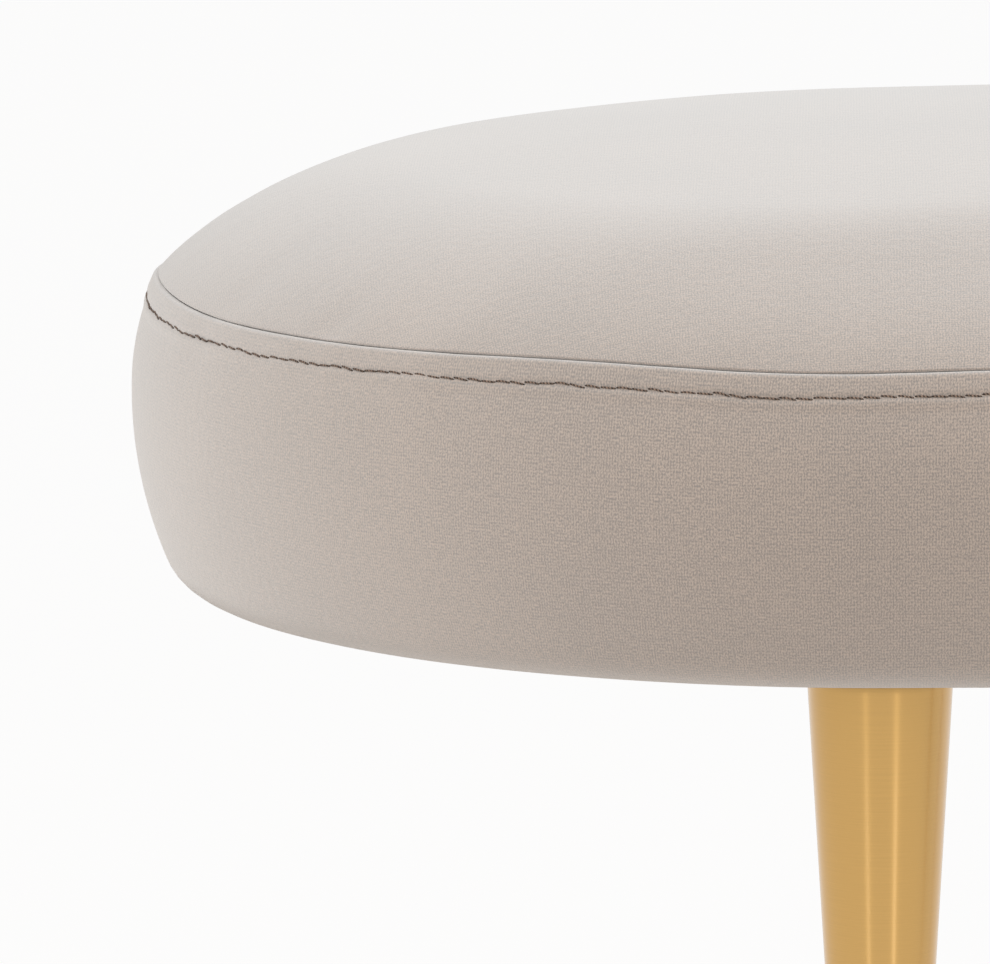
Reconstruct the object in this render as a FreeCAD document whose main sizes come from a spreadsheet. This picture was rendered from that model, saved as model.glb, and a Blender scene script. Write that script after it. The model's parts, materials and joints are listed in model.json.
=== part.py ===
"""Oval upholstered bench on four tapered legs.

The seat is a racetrack oval: two straight sides joined by half-round ends. Every oval piece is one
half-section, swept along the straight sides and turned about an upright axis at each end. X runs along the
bench, Y from its front to its rear and Z up from the floor. Sizes are in millimetres.
"""

import FreeCAD, Part
import math
import os
import Sketcher

SIZES = {
    # Seat, as upholstered
    "seat_length": 1200,
    "seat_depth": 500,
    "seat_underside": 290,
    "band_height": 103.2,
    "seam_inset": 5.6,
    "band_radius": 140,
    "roll_radius": 16,
    "crown_rise": 47,
    "crown_radius": 1500,
    "shoulder_width": 88,
    # Soft layers
    "cover_thickness": 1.5,
    "hem_width": 28,
    "wadding_thickness": 6,
    "soft_gap": 0.3,
    "dust_thickness": 0.8,
    "dust_margin": 4,
    # Wooden frame
    "board_margin": 4,
    "base_thickness": 18,
    "rail_height": 40,
    "rail_width": 22,
    "deck_thickness": 12,
    "cross_setback": 150,
    "dowel_diameter": 8,
    "dowel_length": 40,
    "dowel_reach": 12,
    "dowel_spacing": 18,
    "dowel_gap": 0.2,
    # Frame screws
    "screw_diameter": 4,
    "screw_head_diameter": 8,
    "screw_head_height": 2.4,
    "screw_bite": 14,
    "screw_end_gap": 60,
    "screw_angle": 50,
    "screw_gap": 0.1,
    # Staples under the seat
    "staple_clearance": 1,
    "staple_crown": 10,
    "staple_width": 1.2,
    "staple_wire": 0.6,
    "staple_prong": 8,
    "staples_per_side": 12,
    "staples_per_end": 10,
    # Legs
    "leg_end_inset": 250,
    "leg_clearance": 9,
    "leg_top_diameter": 47.5,
    "leg_tip_diameter": 13.5,
    "leg_wall": 1.4,
    "plug_thickness": 8,
    "plug_gap": 0.05,
    "stud_diameter": 8,
    "stud_stand": 3,
    "stud_chamfer": 0.8,
    "thread_gap": 0.05,
    "nut_flange_diameter": 22,
    "nut_flange_thickness": 1.6,
    "nut_barrel_diameter": 10.6,
    "nut_barrel_length": 12,
    "nut_gap": 0.1,
    "foot_height": 4,
    "foot_lip": 0.4,
    "spigot_length": 14,
    "spigot_gap": 0.1,
}

# Places that follow from the sizes. Reaches are measured out from the seat's centre line, levels up from the
# floor.
WORKED = {
    "half_depth": "Sizes.seat_depth / 2",
    "straight_half": "Sizes.seat_length / 2 - Sizes.seat_depth / 2",
    "cover_bottom": "Sizes.seat_underside + Sizes.dust_thickness",
    "seam_level": "cover_bottom + Sizes.band_height",
    "seam_reach": "half_depth - Sizes.seam_inset",
    "band_centre_reach": "half_depth - Sizes.band_radius",
    "band_rise": "sqrt(Sizes.band_radius ^ 2 - (Sizes.band_radius - Sizes.seam_inset) ^ 2)",
    "band_centre_level": "seam_level - band_rise",
    "roll_centre_level": "cover_bottom + Sizes.roll_radius",
    "roll_distance": "Sizes.band_radius - Sizes.roll_radius",
    "roll_drop": "band_centre_level - roll_centre_level",
    "roll_centre_reach": "band_centre_reach + sqrt(roll_distance ^ 2 - roll_drop ^ 2)",
    "crown_level": "seam_level + Sizes.crown_rise",
    "crown_centre_level": "crown_level - Sizes.crown_radius",
    "shoulder_reach": "seam_reach - Sizes.shoulder_width",
    "shoulder_level": "crown_centre_level + sqrt(Sizes.crown_radius ^ 2 - shoulder_reach ^ 2)",
    "shoulder_fall": "shoulder_level - seam_level",
    "crown_depth": "shoulder_level - crown_centre_level",
    "shoulder_lean": "(crown_depth * shoulder_fall - shoulder_reach * Sizes.shoulder_width)"
                     " / Sizes.crown_radius",
    "shoulder_radius": "(Sizes.shoulder_width ^ 2 + shoulder_fall ^ 2) / (2 * shoulder_lean)",
    "shoulder_share": "shoulder_radius / Sizes.crown_radius",
    "shoulder_centre_reach": "shoulder_reach * (1 - shoulder_share)",
    "shoulder_centre_level": "shoulder_level - crown_depth * shoulder_share",
    # Inward directions of the top panel and the band at the seam, and the corner that insets follow there
    "top_inward_reach": "(shoulder_centre_reach - seam_reach) / shoulder_radius",
    "top_inward_level": "(shoulder_centre_level - seam_level) / shoulder_radius",
    "band_inward_reach": "(band_centre_reach - seam_reach) / Sizes.band_radius",
    "band_inward_level": "(band_centre_level - seam_level) / Sizes.band_radius",
    "corner_share": "1 + top_inward_reach * band_inward_reach + top_inward_level * band_inward_level",
    "corner_reach": "(top_inward_reach + band_inward_reach) / corner_share",
    "corner_level": "(top_inward_level + band_inward_level) / corner_share",
    # Insets of the soft layers from the seat's outer skin
    "lining_inset": "Sizes.cover_thickness + Sizes.soft_gap",
    "wadding_inset": "lining_inset + Sizes.wadding_thickness",
    "foam_inset": "wadding_inset + Sizes.soft_gap",
    # Wooden frame
    "frame_reach": "roll_centre_reach - Sizes.board_margin",
    "rail_inner_reach": "frame_reach - Sizes.rail_width",
    "rail_mid_reach": "frame_reach - Sizes.rail_width / 2",
    "base_level": "cover_bottom + Sizes.cover_thickness",
    "base_top": "base_level + Sizes.base_thickness",
    "rail_top": "base_top + Sizes.rail_height",
    "rail_mid_level": "base_top + Sizes.rail_height / 2",
    "deck_top": "rail_top + Sizes.deck_thickness",
    "cross_place": "straight_half - Sizes.cross_setback",
    "screw_far": "straight_half - Sizes.screw_end_gap",
    "screw_near": "cross_place / 2",
    "screw_head_reach": "rail_mid_reach + Sizes.screw_head_diameter / 2 + Sizes.screw_gap",
    "staple_reach": "screw_head_reach + Sizes.staple_clearance + Sizes.staple_width / 2",
    "dust_reach": "staple_reach + Sizes.dust_margin",
    # Legs
    "leg_place": "Sizes.seat_length / 2 - Sizes.leg_end_inset",
    "leg_reach": "rail_inner_reach - Sizes.leg_clearance - Sizes.nut_flange_diameter / 2",
    "leg_span": "Sizes.seat_underside - Sizes.foot_height",
    "leg_slope": "(Sizes.leg_top_diameter - Sizes.leg_tip_diameter) / 2 / leg_span",
    "leg_top_radius": "Sizes.leg_top_diameter / 2",
    "leg_tip_radius": "Sizes.leg_tip_diameter / 2",
    "plug_top_radius": "leg_top_radius - Sizes.leg_wall - Sizes.plug_gap",
    "plug_level": "Sizes.seat_underside - Sizes.plug_thickness",
    "plug_low_radius": "plug_top_radius - leg_slope * Sizes.plug_thickness",
    "stud_radius": "Sizes.stud_diameter / 2",
    "stud_top": "base_top + Sizes.nut_flange_thickness + Sizes.stud_stand",
    "thread_radius": "stud_radius + Sizes.thread_gap",
}

doc = FreeCAD.newDocument("oval_bench")


def fill_sheet(name, cells):
    """Write each named value in a row of a new sheet and give the cell that name."""
    sheet = doc.addObject("Spreadsheet::Sheet", name)
    for row, (alias, content) in enumerate(cells.items(), start=1):
        sheet.set(f"A{row}", alias)
        sheet.set(f"B{row}", content)
        sheet.setAlias(f"B{row}", alias)
    doc.recompute()
    return sheet


fill_sheet("Sizes", {alias: str(number) for alias, number in SIZES.items()})
worked = fill_sheet("Worked", {alias: f"={formula}" for alias, formula in WORKED.items()})


def value(expression):
    """Number that an expression of sheet values gives."""
    return float(worked.evalExpression(expression))


def origin_plane(body, role):
    """Plane of a body's own origin, found by its role."""
    return next(feature for feature in body.Origin.OriginFeatures if feature.Role == role)


def new_body(name):
    """Empty body for one piece."""
    body = doc.addObject("PartDesign::Body", name)
    doc.recompute()
    return body


def new_sketch(body, name, role, offset="0"):
    """Sketch on one of the body's origin planes, moved along the plane's normal."""
    sketch = body.newObject("Sketcher::SketchObject", name)
    sketch.AttachmentSupport = [(origin_plane(body, role), "")]
    sketch.MapMode = "FlatFace"
    sketch.setExpression("AttachmentOffset.Base.z", offset)
    doc.recompute()
    return sketch


def hold(sketch, kind, name, geometry, expression):
    """Add a driving constraint and bind it to an expression."""
    index = sketch.addConstraint(Sketcher.Constraint(kind, *geometry, value(expression)))
    sketch.renameConstraint(index, name)
    sketch.setExpression(f"Constraints.{name}", expression)


def hold_point(sketch, name, point, across, up):
    """Bind a point's two coordinates, or lay it on an axis where a coordinate is 0."""
    for kind, axis, expression in (("DistanceX", -2, across), ("DistanceY", -1, up)):
        if expression == "0":
            sketch.addConstraint(Sketcher.Constraint("PointOnObject", *point, axis))
        else:
            hold(sketch, kind, f"{name}_{kind}", (-1, 1, *point), expression)


def arc_between(start, end, radius, side):
    """Arc that bulges to the left (side 1) or right (side -1) of the way from start to end."""
    chord = end - start
    rise = math.sqrt(radius ** 2 - (chord.Length / 2) ** 2)
    left = FreeCAD.Vector(-chord.y, chord.x, 0).normalize()
    centre = (start + end) / 2 - left * rise * side
    first, last = (end, start) if side > 0 else (start, end)
    angles = [math.atan2(point.y - centre.y, point.x - centre.x) for point in (first, last)]
    if angles[1] < angles[0]:
        angles[1] += 2 * math.pi
    return Part.ArcOfCircle(Part.Circle(centre, FreeCAD.Vector(0, 0, 1), radius), *angles)


def draw(sketch, corners, arcs=None):
    """Closed outline through corners, each a pair of expressions.

    arcs maps the number of an edge to the radius and the side of its arc. Every other edge is straight.
    """
    arcs = arcs or {}
    points = [FreeCAD.Vector(value(across), value(up), 0) for across, up in corners]
    ends = []
    for number, start in enumerate(points):
        end = points[(number + 1) % len(points)]
        if number in arcs:
            radius, side = arcs[number]
            edge = arc_between(start, end, value(radius), side)
            ends.append((2, 1) if side > 0 else (1, 2))
        else:
            edge = Part.LineSegment(start, end)
            ends.append((1, 2))
        sketch.addGeometry(edge, False)
    for number in range(len(points)):
        following = (number + 1) % len(points)
        joint = (number, ends[number][1], following, ends[following][0])
        sketch.addConstraint(Sketcher.Constraint("Coincident", *joint))
    for number, (across, up) in enumerate(corners):
        hold_point(sketch, f"corner_{number}", (number, ends[number][0]), across, up)
    for number, (radius, side) in arcs.items():
        hold(sketch, "Radius", f"arc_{number}", (number,), radius)
    doc.recompute()


def feature(body, kind, name, sketch, reversed_way=False, **bound):
    """Feature of a sketch, with properties bound to expressions."""
    made = body.newObject(f"PartDesign::{kind}", name)
    made.Profile = sketch
    made.Reversed = reversed_way
    for key, expression in bound.items():
        made.setExpression(key, expression)
    return made


def turned(body, name, sketch, angle, reversed_way=False):
    """Revolution of a sketch about its own upright axis."""
    made = feature(body, "Revolution", name, sketch, reversed_way)
    made.ReferenceAxis = (sketch, ["V_Axis"])
    made.Angle = angle
    doc.recompute()
    return made


def mirrored(body, name, original, role):
    """Mirror one feature of a body across an origin plane."""
    made = body.newObject("PartDesign::Mirrored", name)
    made.Originals = [original]
    made.MirrorPlane = (origin_plane(body, role), [""])
    body.Tip = made
    doc.recompute()
    return made


def oval_body(name, corners, arcs=None):
    """Piece with one half-section all the way round the oval; corners are pairs of reach and level."""
    body = new_body(name)
    section = new_sketch(body, f"{name}_section", "YZ_Plane", "Worked.straight_half")
    draw(section, corners, arcs)
    end = turned(body, f"{name}_end", section, 180, reversed_way=True)
    side = feature(body, "Pad", f"{name}_side", section, reversed_way=True, Length="2 * Worked.straight_half")
    doc.recompute()
    mirrored(body, f"{name}_other_side", side, "XZ_Plane")
    mirrored(body, f"{name}_other_end", end, "YZ_Plane")
    return body


def slab(reach, low, high):
    """Corners of a half-section that runs from the centre line out to a reach."""
    return [("0", low), (reach, low), (reach, high), ("0", high)]


def drill(body, name, spots, diameter, depth, role, start, reversed_way=False):
    """Round holes at spots of a plane, from a start along its normal; the volume must fall."""
    before = body.Shape.Volume
    sketch = new_sketch(body, f"{name}_spots", role, start)
    for number, (across, up) in enumerate(spots):
        middle = FreeCAD.Vector(value(across), value(up), 0)
        circle = Part.Circle(middle, FreeCAD.Vector(0, 0, 1), value(diameter) / 2)
        sketch.addGeometry(circle, False)
        hold_point(sketch, f"spot_{number}", (number, 3), across, up)
        hold(sketch, "Diameter", f"bore_{number}", (number,), diameter)
    feature(body, "Pocket", name, sketch, reversed_way, Length=depth)
    doc.recompute()
    if body.Shape.Volume >= before:
        raise RuntimeError(f"{name} cut nothing")


def group(name, solids):
    """Separate solids of one kind in one node."""
    made = doc.addObject("Part::Feature", name)
    made.Shape = Part.makeCompound(solids)
    return made


def signed(expression, sign):
    """Expression, or its opposite."""
    return expression if sign > 0 else f"-({expression})"


def corner_at(inset):
    """Seam corner of a layer, an inset below the outer skin."""
    return (f"Worked.seam_reach + Worked.corner_reach * ({inset})",
            f"Worked.seam_level + Worked.corner_level * ({inset})")


def crown_path(inset):
    """Middle, shoulder and seam corner of a layer's top."""
    share = f"(1 - ({inset}) / Sizes.crown_radius)"
    return [("0", f"Worked.crown_level - ({inset})"),
            (f"Worked.shoulder_reach * {share}", f"Worked.crown_centre_level + Worked.crown_depth * {share}"),
            corner_at(inset)]


def crown_radii(inset):
    """Radii of the crown's two arcs in a layer."""
    return [f"Sizes.crown_radius - ({inset})", f"Worked.shoulder_radius - ({inset})"]


def band_at_deck(inset):
    """Point of a layer's side at the level of the deck."""
    radius = f"(Sizes.band_radius - ({inset}))"
    rise = "(Worked.deck_top - Worked.band_centre_level)"
    return (f"Worked.band_centre_reach + sqrt({radius} ^ 2 - {rise} ^ 2)", "Worked.deck_top")


def roll_path(inset):
    """Where a layer's side meets the roll under the seat, and where the roll meets the underside."""
    share = f"((Sizes.band_radius - ({inset})) / Worked.roll_distance)"
    reach = f"Worked.band_centre_reach + (Worked.roll_centre_reach - Worked.band_centre_reach) * {share}"
    level = f"Worked.band_centre_level - Worked.roll_drop * {share}"
    return [(reach, level), ("Worked.roll_centre_reach", f"Worked.cover_bottom + ({inset})")]


def side_radii(inset):
    """Radii of the band's bulge and of the roll in a layer."""
    return [f"Sizes.band_radius - ({inset})", f"Sizes.roll_radius - ({inset})"]


def numbered_arcs(first, radii, side):
    """Arcs of consecutive edges."""
    return {first + step: (radius, side) for step, radius in enumerate(radii)}


def upholstery():
    """Velvet panel and band, wadding, seat foam and side foam."""
    skin, lining = "0", "Sizes.cover_thickness"
    panel = crown_path(skin) + crown_path(lining)[::-1]
    panel_arcs = numbered_arcs(0, crown_radii(skin), 1) | numbered_arcs(3, crown_radii(lining)[::-1], -1)
    hem_reach = "Worked.roll_centre_reach - Sizes.hem_width"
    hem = [(hem_reach, "Worked.cover_bottom"), (hem_reach, "Worked.base_level")]
    band = [corner_at(skin), *roll_path(skin), *hem, *roll_path(lining)[::-1], corner_at(lining)]
    band_arcs = numbered_arcs(0, side_radii(skin), 1) | numbered_arcs(5, side_radii(lining)[::-1], -1)

    outer, inner, core = "Worked.lining_inset", "Worked.wadding_inset", "Worked.foam_inset"
    wrap = crown_path(outer) + [band_at_deck(outer), band_at_deck(inner)] + crown_path(inner)[::-1]
    wrap_out = crown_radii(outer) + side_radii(outer)[:1]
    wrap_back = side_radii(inner)[:1] + crown_radii(inner)[::-1]
    wrap_arcs = numbered_arcs(0, wrap_out, 1) | numbered_arcs(4, wrap_back, -1)
    foam = crown_path(core) + [band_at_deck(core), ("0", "Worked.deck_top")]
    foam_arcs = numbered_arcs(0, crown_radii(core) + side_radii(core)[:1], 1)

    inside = "Worked.frame_reach + Sizes.soft_gap"
    bottom = f"Worked.cover_bottom + {outer}"
    strip = [band_at_deck(outer), *roll_path(outer), (inside, bottom), (inside, "Worked.deck_top")]
    strip_arcs = numbered_arcs(0, side_radii(outer), 1)
    return [oval_body("cover_top_panel", panel, panel_arcs), oval_body("cover_side_band", band, band_arcs),
            oval_body("wadding", wrap, wrap_arcs), oval_body("seat_foam", foam, foam_arcs),
            oval_body("side_foam", strip, strip_arcs)]


def screw_spots():
    """Places of the screws through each board: four along each straight rail and three round each end."""
    spots = {"front_rail": [], "rear_rail": [], "left_end_rail": [], "right_end_rail": []}
    for rail, sign in (("front_rail", -1), ("rear_rail", 1)):
        for place in ("Worked.screw_far", "Worked.screw_near"):
            for way in (-1, 1):
                spots[rail].append((signed(place, way), signed("Worked.rail_mid_reach", sign)))
    for rail, way in (("left_end_rail", -1), ("right_end_rail", 1)):
        spots[rail].append((signed("Worked.straight_half + Worked.rail_mid_reach", way), "0"))
        across = "Worked.straight_half + Worked.rail_mid_reach * cos(Sizes.screw_angle * 1 deg)"
        for sign in (-1, 1):
            up = signed("Worked.rail_mid_reach * sin(Sizes.screw_angle * 1 deg)", sign)
            spots[rail].append((signed(across, way), up))
    return spots


def leg_spots():
    """Name and place of each leg."""
    return {f"{row}_{end}": (signed("Worked.leg_place", way), signed("Worked.leg_reach", sign))
            for row, sign in (("front", -1), ("rear", 1)) for end, way in (("left", -1), ("right", 1))}


def boards():
    """Base board, deck board and dust cover, with their holes."""
    base = oval_body("base_board", slab("Worked.frame_reach", "Worked.base_level", "Worked.base_top"))
    deck = oval_body("deck_board", slab("Worked.frame_reach", "Worked.rail_top", "Worked.deck_top"))
    dust = oval_body("dust_cover", slab("Worked.dust_reach", "Sizes.seat_underside", "Worked.cover_bottom"))
    spots = [spot for rail in screw_spots().values() for spot in rail]
    shank = "Sizes.screw_diameter + 2 * Sizes.screw_gap"
    head = "Sizes.screw_head_diameter + 2 * Sizes.screw_gap"
    drill(base, "base_screw_holes", spots, shank, "Sizes.base_thickness", "XY_Plane", "Worked.base_top")
    drill(base, "base_head_holes", spots, head, "Sizes.screw_head_height", "XY_Plane", "Worked.base_level",
          True)
    drill(deck, "deck_screw_holes", spots, shank, "Sizes.deck_thickness", "XY_Plane", "Worked.deck_top")
    drill(deck, "deck_head_holes", spots, head, "Sizes.screw_head_height", "XY_Plane", "Worked.deck_top")
    legs = list(leg_spots().values())
    barrel = "Sizes.nut_barrel_diameter + 2 * Sizes.nut_gap"
    drill(base, "nut_holes", legs, barrel, "Sizes.base_thickness", "XY_Plane", "Worked.base_top")
    stud = "Sizes.stud_diameter + 2 * Sizes.thread_gap"
    drill(dust, "stud_holes", legs, stud, "Sizes.dust_thickness", "XY_Plane", "Worked.cover_bottom")
    return [base, deck, dust]


def pilot_holes(body, name, spots):
    """Screw holes in a rail, from its top and from its underside."""
    bore = "Sizes.screw_diameter + 2 * Sizes.screw_gap"
    depth = "Sizes.screw_bite + Sizes.dowel_gap"
    drill(body, f"{name}_top_pilots", spots, bore, depth, "XY_Plane", "Worked.rail_top")
    drill(body, f"{name}_low_pilots", spots, bore, depth, "XY_Plane", "Worked.base_top", True)


def dowel_levels():
    """Levels of the two dowels of a joint."""
    half = "Sizes.dowel_spacing / 2"
    return [f"Worked.rail_mid_level - {half}", f"Worked.rail_mid_level + {half}"]


def rails():
    """Straight rails, half-round end rails and cross rails, with their dowel and screw holes."""
    spots = screw_spots()
    hole = "Sizes.dowel_diameter + 2 * Sizes.dowel_gap"
    half_hole = "Sizes.dowel_length / 2 + Sizes.dowel_gap"
    made = []
    for name, sign in (("front_rail", -1), ("rear_rail", 1)):
        rail = new_body(name)
        section = new_sketch(rail, f"{name}_section", "YZ_Plane", "Worked.straight_half")
        near, far = signed("Worked.rail_inner_reach", sign), signed("Worked.frame_reach", sign)
        draw(section, [(near, "Worked.base_top"), (far, "Worked.base_top"), (far, "Worked.rail_top"),
                       (near, "Worked.rail_top")])
        feature(rail, "Pad", f"{name}_length", section, True, Length="2 * Worked.straight_half")
        doc.recompute()
        pilot_holes(rail, name, spots[name])
        joint = [(signed("Worked.rail_mid_reach", sign), level) for level in dowel_levels()]
        drill(rail, f"{name}_right_joint", joint, hole, half_hole, "YZ_Plane", "Worked.straight_half")
        drill(rail, f"{name}_left_joint", joint, hole, half_hole, "YZ_Plane", "-Worked.straight_half", True)
        cross = [(place, level) for place in ("0", "Worked.cross_place", "-Worked.cross_place")
                 for level in dowel_levels()]
        depth = "Sizes.dowel_reach + Sizes.dowel_gap"
        start = signed("Worked.rail_inner_reach", -sign)
        drill(rail, f"{name}_cross_joints", cross, hole, depth, "XZ_Plane", start, sign < 0)
        made.append(rail)
    for name, way in (("left_end_rail", -1), ("right_end_rail", 1)):
        rail = new_body(name)
        place = signed("Worked.straight_half", way)
        section = new_sketch(rail, f"{name}_section", "YZ_Plane", place)
        near, far = "Worked.rail_inner_reach", "Worked.frame_reach"
        draw(section, [(near, "Worked.base_top"), (far, "Worked.base_top"), (far, "Worked.rail_top"),
                       (near, "Worked.rail_top")])
        turned(rail, f"{name}_bend", section, 180, reversed_way=way > 0)
        pilot_holes(rail, name, spots[name])
        joint = [(signed("Worked.rail_mid_reach", sign), level) for sign in (-1, 1)
                 for level in dowel_levels()]
        drill(rail, f"{name}_joints", joint, hole, half_hole, "YZ_Plane", place, way > 0)
        made.append(rail)
    for name, place in (("left_cross_rail", "-Worked.cross_place"), ("middle_cross_rail", "0"),
                        ("right_cross_rail", "Worked.cross_place")):
        rail = new_body(name)
        section = new_sketch(rail, f"{name}_section", "XZ_Plane", "Worked.rail_inner_reach")
        left, right = f"{place} - Sizes.rail_width / 2", f"{place} + Sizes.rail_width / 2"
        draw(section, [(left, "Worked.base_top"), (right, "Worked.base_top"), (right, "Worked.rail_top"),
                       (left, "Worked.rail_top")])
        feature(rail, "Pad", f"{name}_length", section, True, Length="2 * Worked.rail_inner_reach")
        doc.recompute()
        joint = [(place, level) for level in dowel_levels()]
        depth = "Sizes.dowel_length - Sizes.dowel_reach + Sizes.dowel_gap"
        drill(rail, f"{name}_front_joint", joint, hole, depth, "XZ_Plane", "Worked.rail_inner_reach")
        drill(rail, f"{name}_rear_joint", joint, hole, depth, "XZ_Plane", "-Worked.rail_inner_reach", True)
        made.append(rail)
    return made


def dowels():
    """Dowels of the rail joints, along X, and of the cross rails, along Y."""
    radius, length = value("Sizes.dowel_diameter") / 2, value("Sizes.dowel_length")
    levels = [value(level) for level in dowel_levels()]
    along, across = FreeCAD.Vector(1, 0, 0), FreeCAD.Vector(0, 1, 0)
    rail_reach, joint = value("Worked.rail_mid_reach"), value("Worked.straight_half")
    end_starts = [FreeCAD.Vector(way * joint - length / 2, sign * rail_reach, level)
                  for way in (-1, 1) for sign in (-1, 1) for level in levels]
    ends = [Part.makeCylinder(radius, length, start, along) for start in end_starts]
    inner, bite = value("Worked.rail_inner_reach"), value("Sizes.dowel_reach")
    place = value("Worked.cross_place")
    cross_starts = [FreeCAD.Vector(way * place, start, level) for way in (-1, 0, 1)
                    for start in (inner + bite - length, -inner - bite) for level in levels]
    crossing = [Part.makeCylinder(radius, length, start, across) for start in cross_starts]
    return [group("rail_dowels", ends), group("cross_rail_dowels", crossing)]


def screw(length, top, way):
    """Screw with a flat head at a level, pointing up or down."""
    axis = FreeCAD.Vector(0, 0, way)
    start = FreeCAD.Vector(0, 0, top)
    head_radius, head_height = value("Sizes.screw_head_diameter") / 2, value("Sizes.screw_head_height")
    head = Part.makeCylinder(head_radius, head_height, start, axis)
    shank = Part.makeCylinder(value("Sizes.screw_diameter") / 2, length, start, axis)
    return head.fuse(shank).removeSplitter()


def screws():
    """Screws down through the deck board and up through the base board."""
    spots = [FreeCAD.Vector(value(across), value(up), 0) for rail in screw_spots().values()
             for across, up in rail]
    down = screw(value("Sizes.deck_thickness + Sizes.screw_bite"), value("Worked.deck_top"), -1)
    upward = screw(value("Sizes.base_thickness + Sizes.screw_bite"), value("Worked.base_level"), 1)
    return [group("deck_screws", [down.translated(spot) for spot in spots]),
            group("base_screws", [upward.translated(spot) for spot in spots])]


def staple():
    """Staple along X with its crown under the seat and its two prongs pointing up."""
    crown, width = value("Sizes.staple_crown"), value("Sizes.staple_width")
    wire, prong = value("Sizes.staple_wire"), value("Sizes.staple_prong")
    low = value("Sizes.seat_underside") - wire
    bar = Part.makeBox(crown, width, wire, FreeCAD.Vector(-crown / 2, -width / 2, low))
    legs = [Part.makeBox(wire, width, prong + wire, FreeCAD.Vector(start, -width / 2, low))
            for start in (-crown / 2, crown / 2 - wire)]
    return bar.fuse(legs).removeSplitter()


def staples():
    """Staples round the dust cover, each along its edge."""
    one = staple()
    reach, half = value("Worked.staple_reach"), value("Worked.straight_half")
    side_count, end_count = int(value("Sizes.staples_per_side")), int(value("Sizes.staples_per_end"))
    upright = FreeCAD.Vector(0, 0, 1)
    placed = []
    for number in range(side_count):
        place = half * ((2 * number + 1) / side_count - 1)
        for sign in (-1, 1):
            placed.append(one.translated(FreeCAD.Vector(place, sign * reach, 0)))
    for number in range(end_count):
        angle = 180 * (number + 0.5) / end_count
        for way in (-1, 1):
            turned_staple = one.translated(FreeCAD.Vector(0, reach, 0))
            turned_staple = turned_staple.rotated(FreeCAD.Vector(), upright, -way * angle)
            placed.append(turned_staple.translated(FreeCAD.Vector(way * half, 0, 0)))
    return group("dust_cover_staples", placed)


def round_body(name, place, corners):
    """Piece turned about an upright axis at a place of the plan; corners are pairs of radius and level."""
    body = new_body(name)
    section = new_sketch(body, f"{name}_section", "XZ_Plane")
    draw(section, corners)
    turned(body, f"{name}_turning", section, 360)
    body.setExpression("Placement.Base.x", place[0])
    body.setExpression("Placement.Base.y", place[1])
    doc.recompute()
    return body


def leg(name, place):
    """Tapered tube, threaded plug, stud, flanged nut and foot cap of one leg."""
    top, tip = "Worked.leg_top_radius", "Worked.leg_tip_radius"
    wall, floor, under = "Sizes.leg_wall", "Sizes.foot_height", "Sizes.seat_underside"
    tube = [(f"{tip} - {wall}", floor), (tip, floor), (top, under), (f"{top} - {wall}", under)]
    bore = "Worked.thread_radius"
    plug = [(bore, "Worked.plug_level"), ("Worked.plug_low_radius", "Worked.plug_level"),
            ("Worked.plug_top_radius", under), (bore, under)]
    edge, pin = "Sizes.stud_chamfer", "Worked.stud_radius"
    stud = [("0", "Worked.plug_level"), (f"{pin} - {edge}", "Worked.plug_level"),
            (pin, f"Worked.plug_level + {edge}"), (pin, f"Worked.stud_top - {edge}"),
            (f"{pin} - {edge}", "Worked.stud_top"), ("0", "Worked.stud_top")]
    flange_top = "Worked.base_top + Sizes.nut_flange_thickness"
    flange, barrel = "Sizes.nut_flange_diameter / 2", "Sizes.nut_barrel_diameter / 2"
    barrel_end = "Worked.base_top - Sizes.nut_barrel_length"
    nut = [(bore, barrel_end), (barrel, barrel_end), (barrel, "Worked.base_top"), (flange, "Worked.base_top"),
           (flange, flange_top), (bore, flange_top)]
    spigot = f"{tip} - {wall} - Sizes.spigot_gap"
    pad = f"{tip} - Sizes.foot_lip"
    foot = [("0", "0"), (f"{pad} - Sizes.foot_lip", "0"), (pad, "Sizes.foot_lip"), (pad, floor),
            (spigot, floor), (spigot, f"{floor} + Sizes.spigot_length"),
            ("0", f"{floor} + Sizes.spigot_length")]
    kinds = {"leg_tube": tube, "leg_plug": plug, "leg_stud": stud, "leg_nut": nut, "foot_cap": foot}
    return [round_body(f"{kind}_{name}", place, corners) for kind, corners in kinds.items()]


def check(pieces):
    """Stop on any object in error and on any empty or broken shape."""
    doc.recompute()
    for item in doc.Objects:
        if {"Invalid", "Error"} & set(item.State):
            raise RuntimeError(f"{item.Label} is {item.State}")
    for piece in pieces:
        if piece.Shape.isNull() or not piece.Shape.isValid():
            raise RuntimeError(f"{piece.Label} has no valid shape")


def export(pieces):
    """Write each piece to a file named after it."""
    os.makedirs("parts", exist_ok=True)
    for piece in pieces:
        piece.Shape.exportStep(f"parts/{piece.Label}.step")
        print(piece.Label, len(piece.Shape.Solids), round(piece.Shape.Volume))


pieces = upholstery() + boards() + rails() + dowels() + screws() + [staples()]
for leg_name, leg_place in leg_spots().items():
    pieces += leg(leg_name, leg_place)
check(pieces)
export(pieces)
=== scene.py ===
"""Looks of the oval bench: velvet cover, topstitched seam, brushed gold legs and the studio around them.

Lengths are in metres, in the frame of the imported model: X along the bench, Y from front to rear, Z up.
A reach is a distance out from the seat's centre line, and a level is a height above the floor.
"""

import json
import logging
import math
from dataclasses import dataclass, field
from enum import Enum

import bpy
import numpy as np
from mathutils import Matrix, Vector


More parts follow.
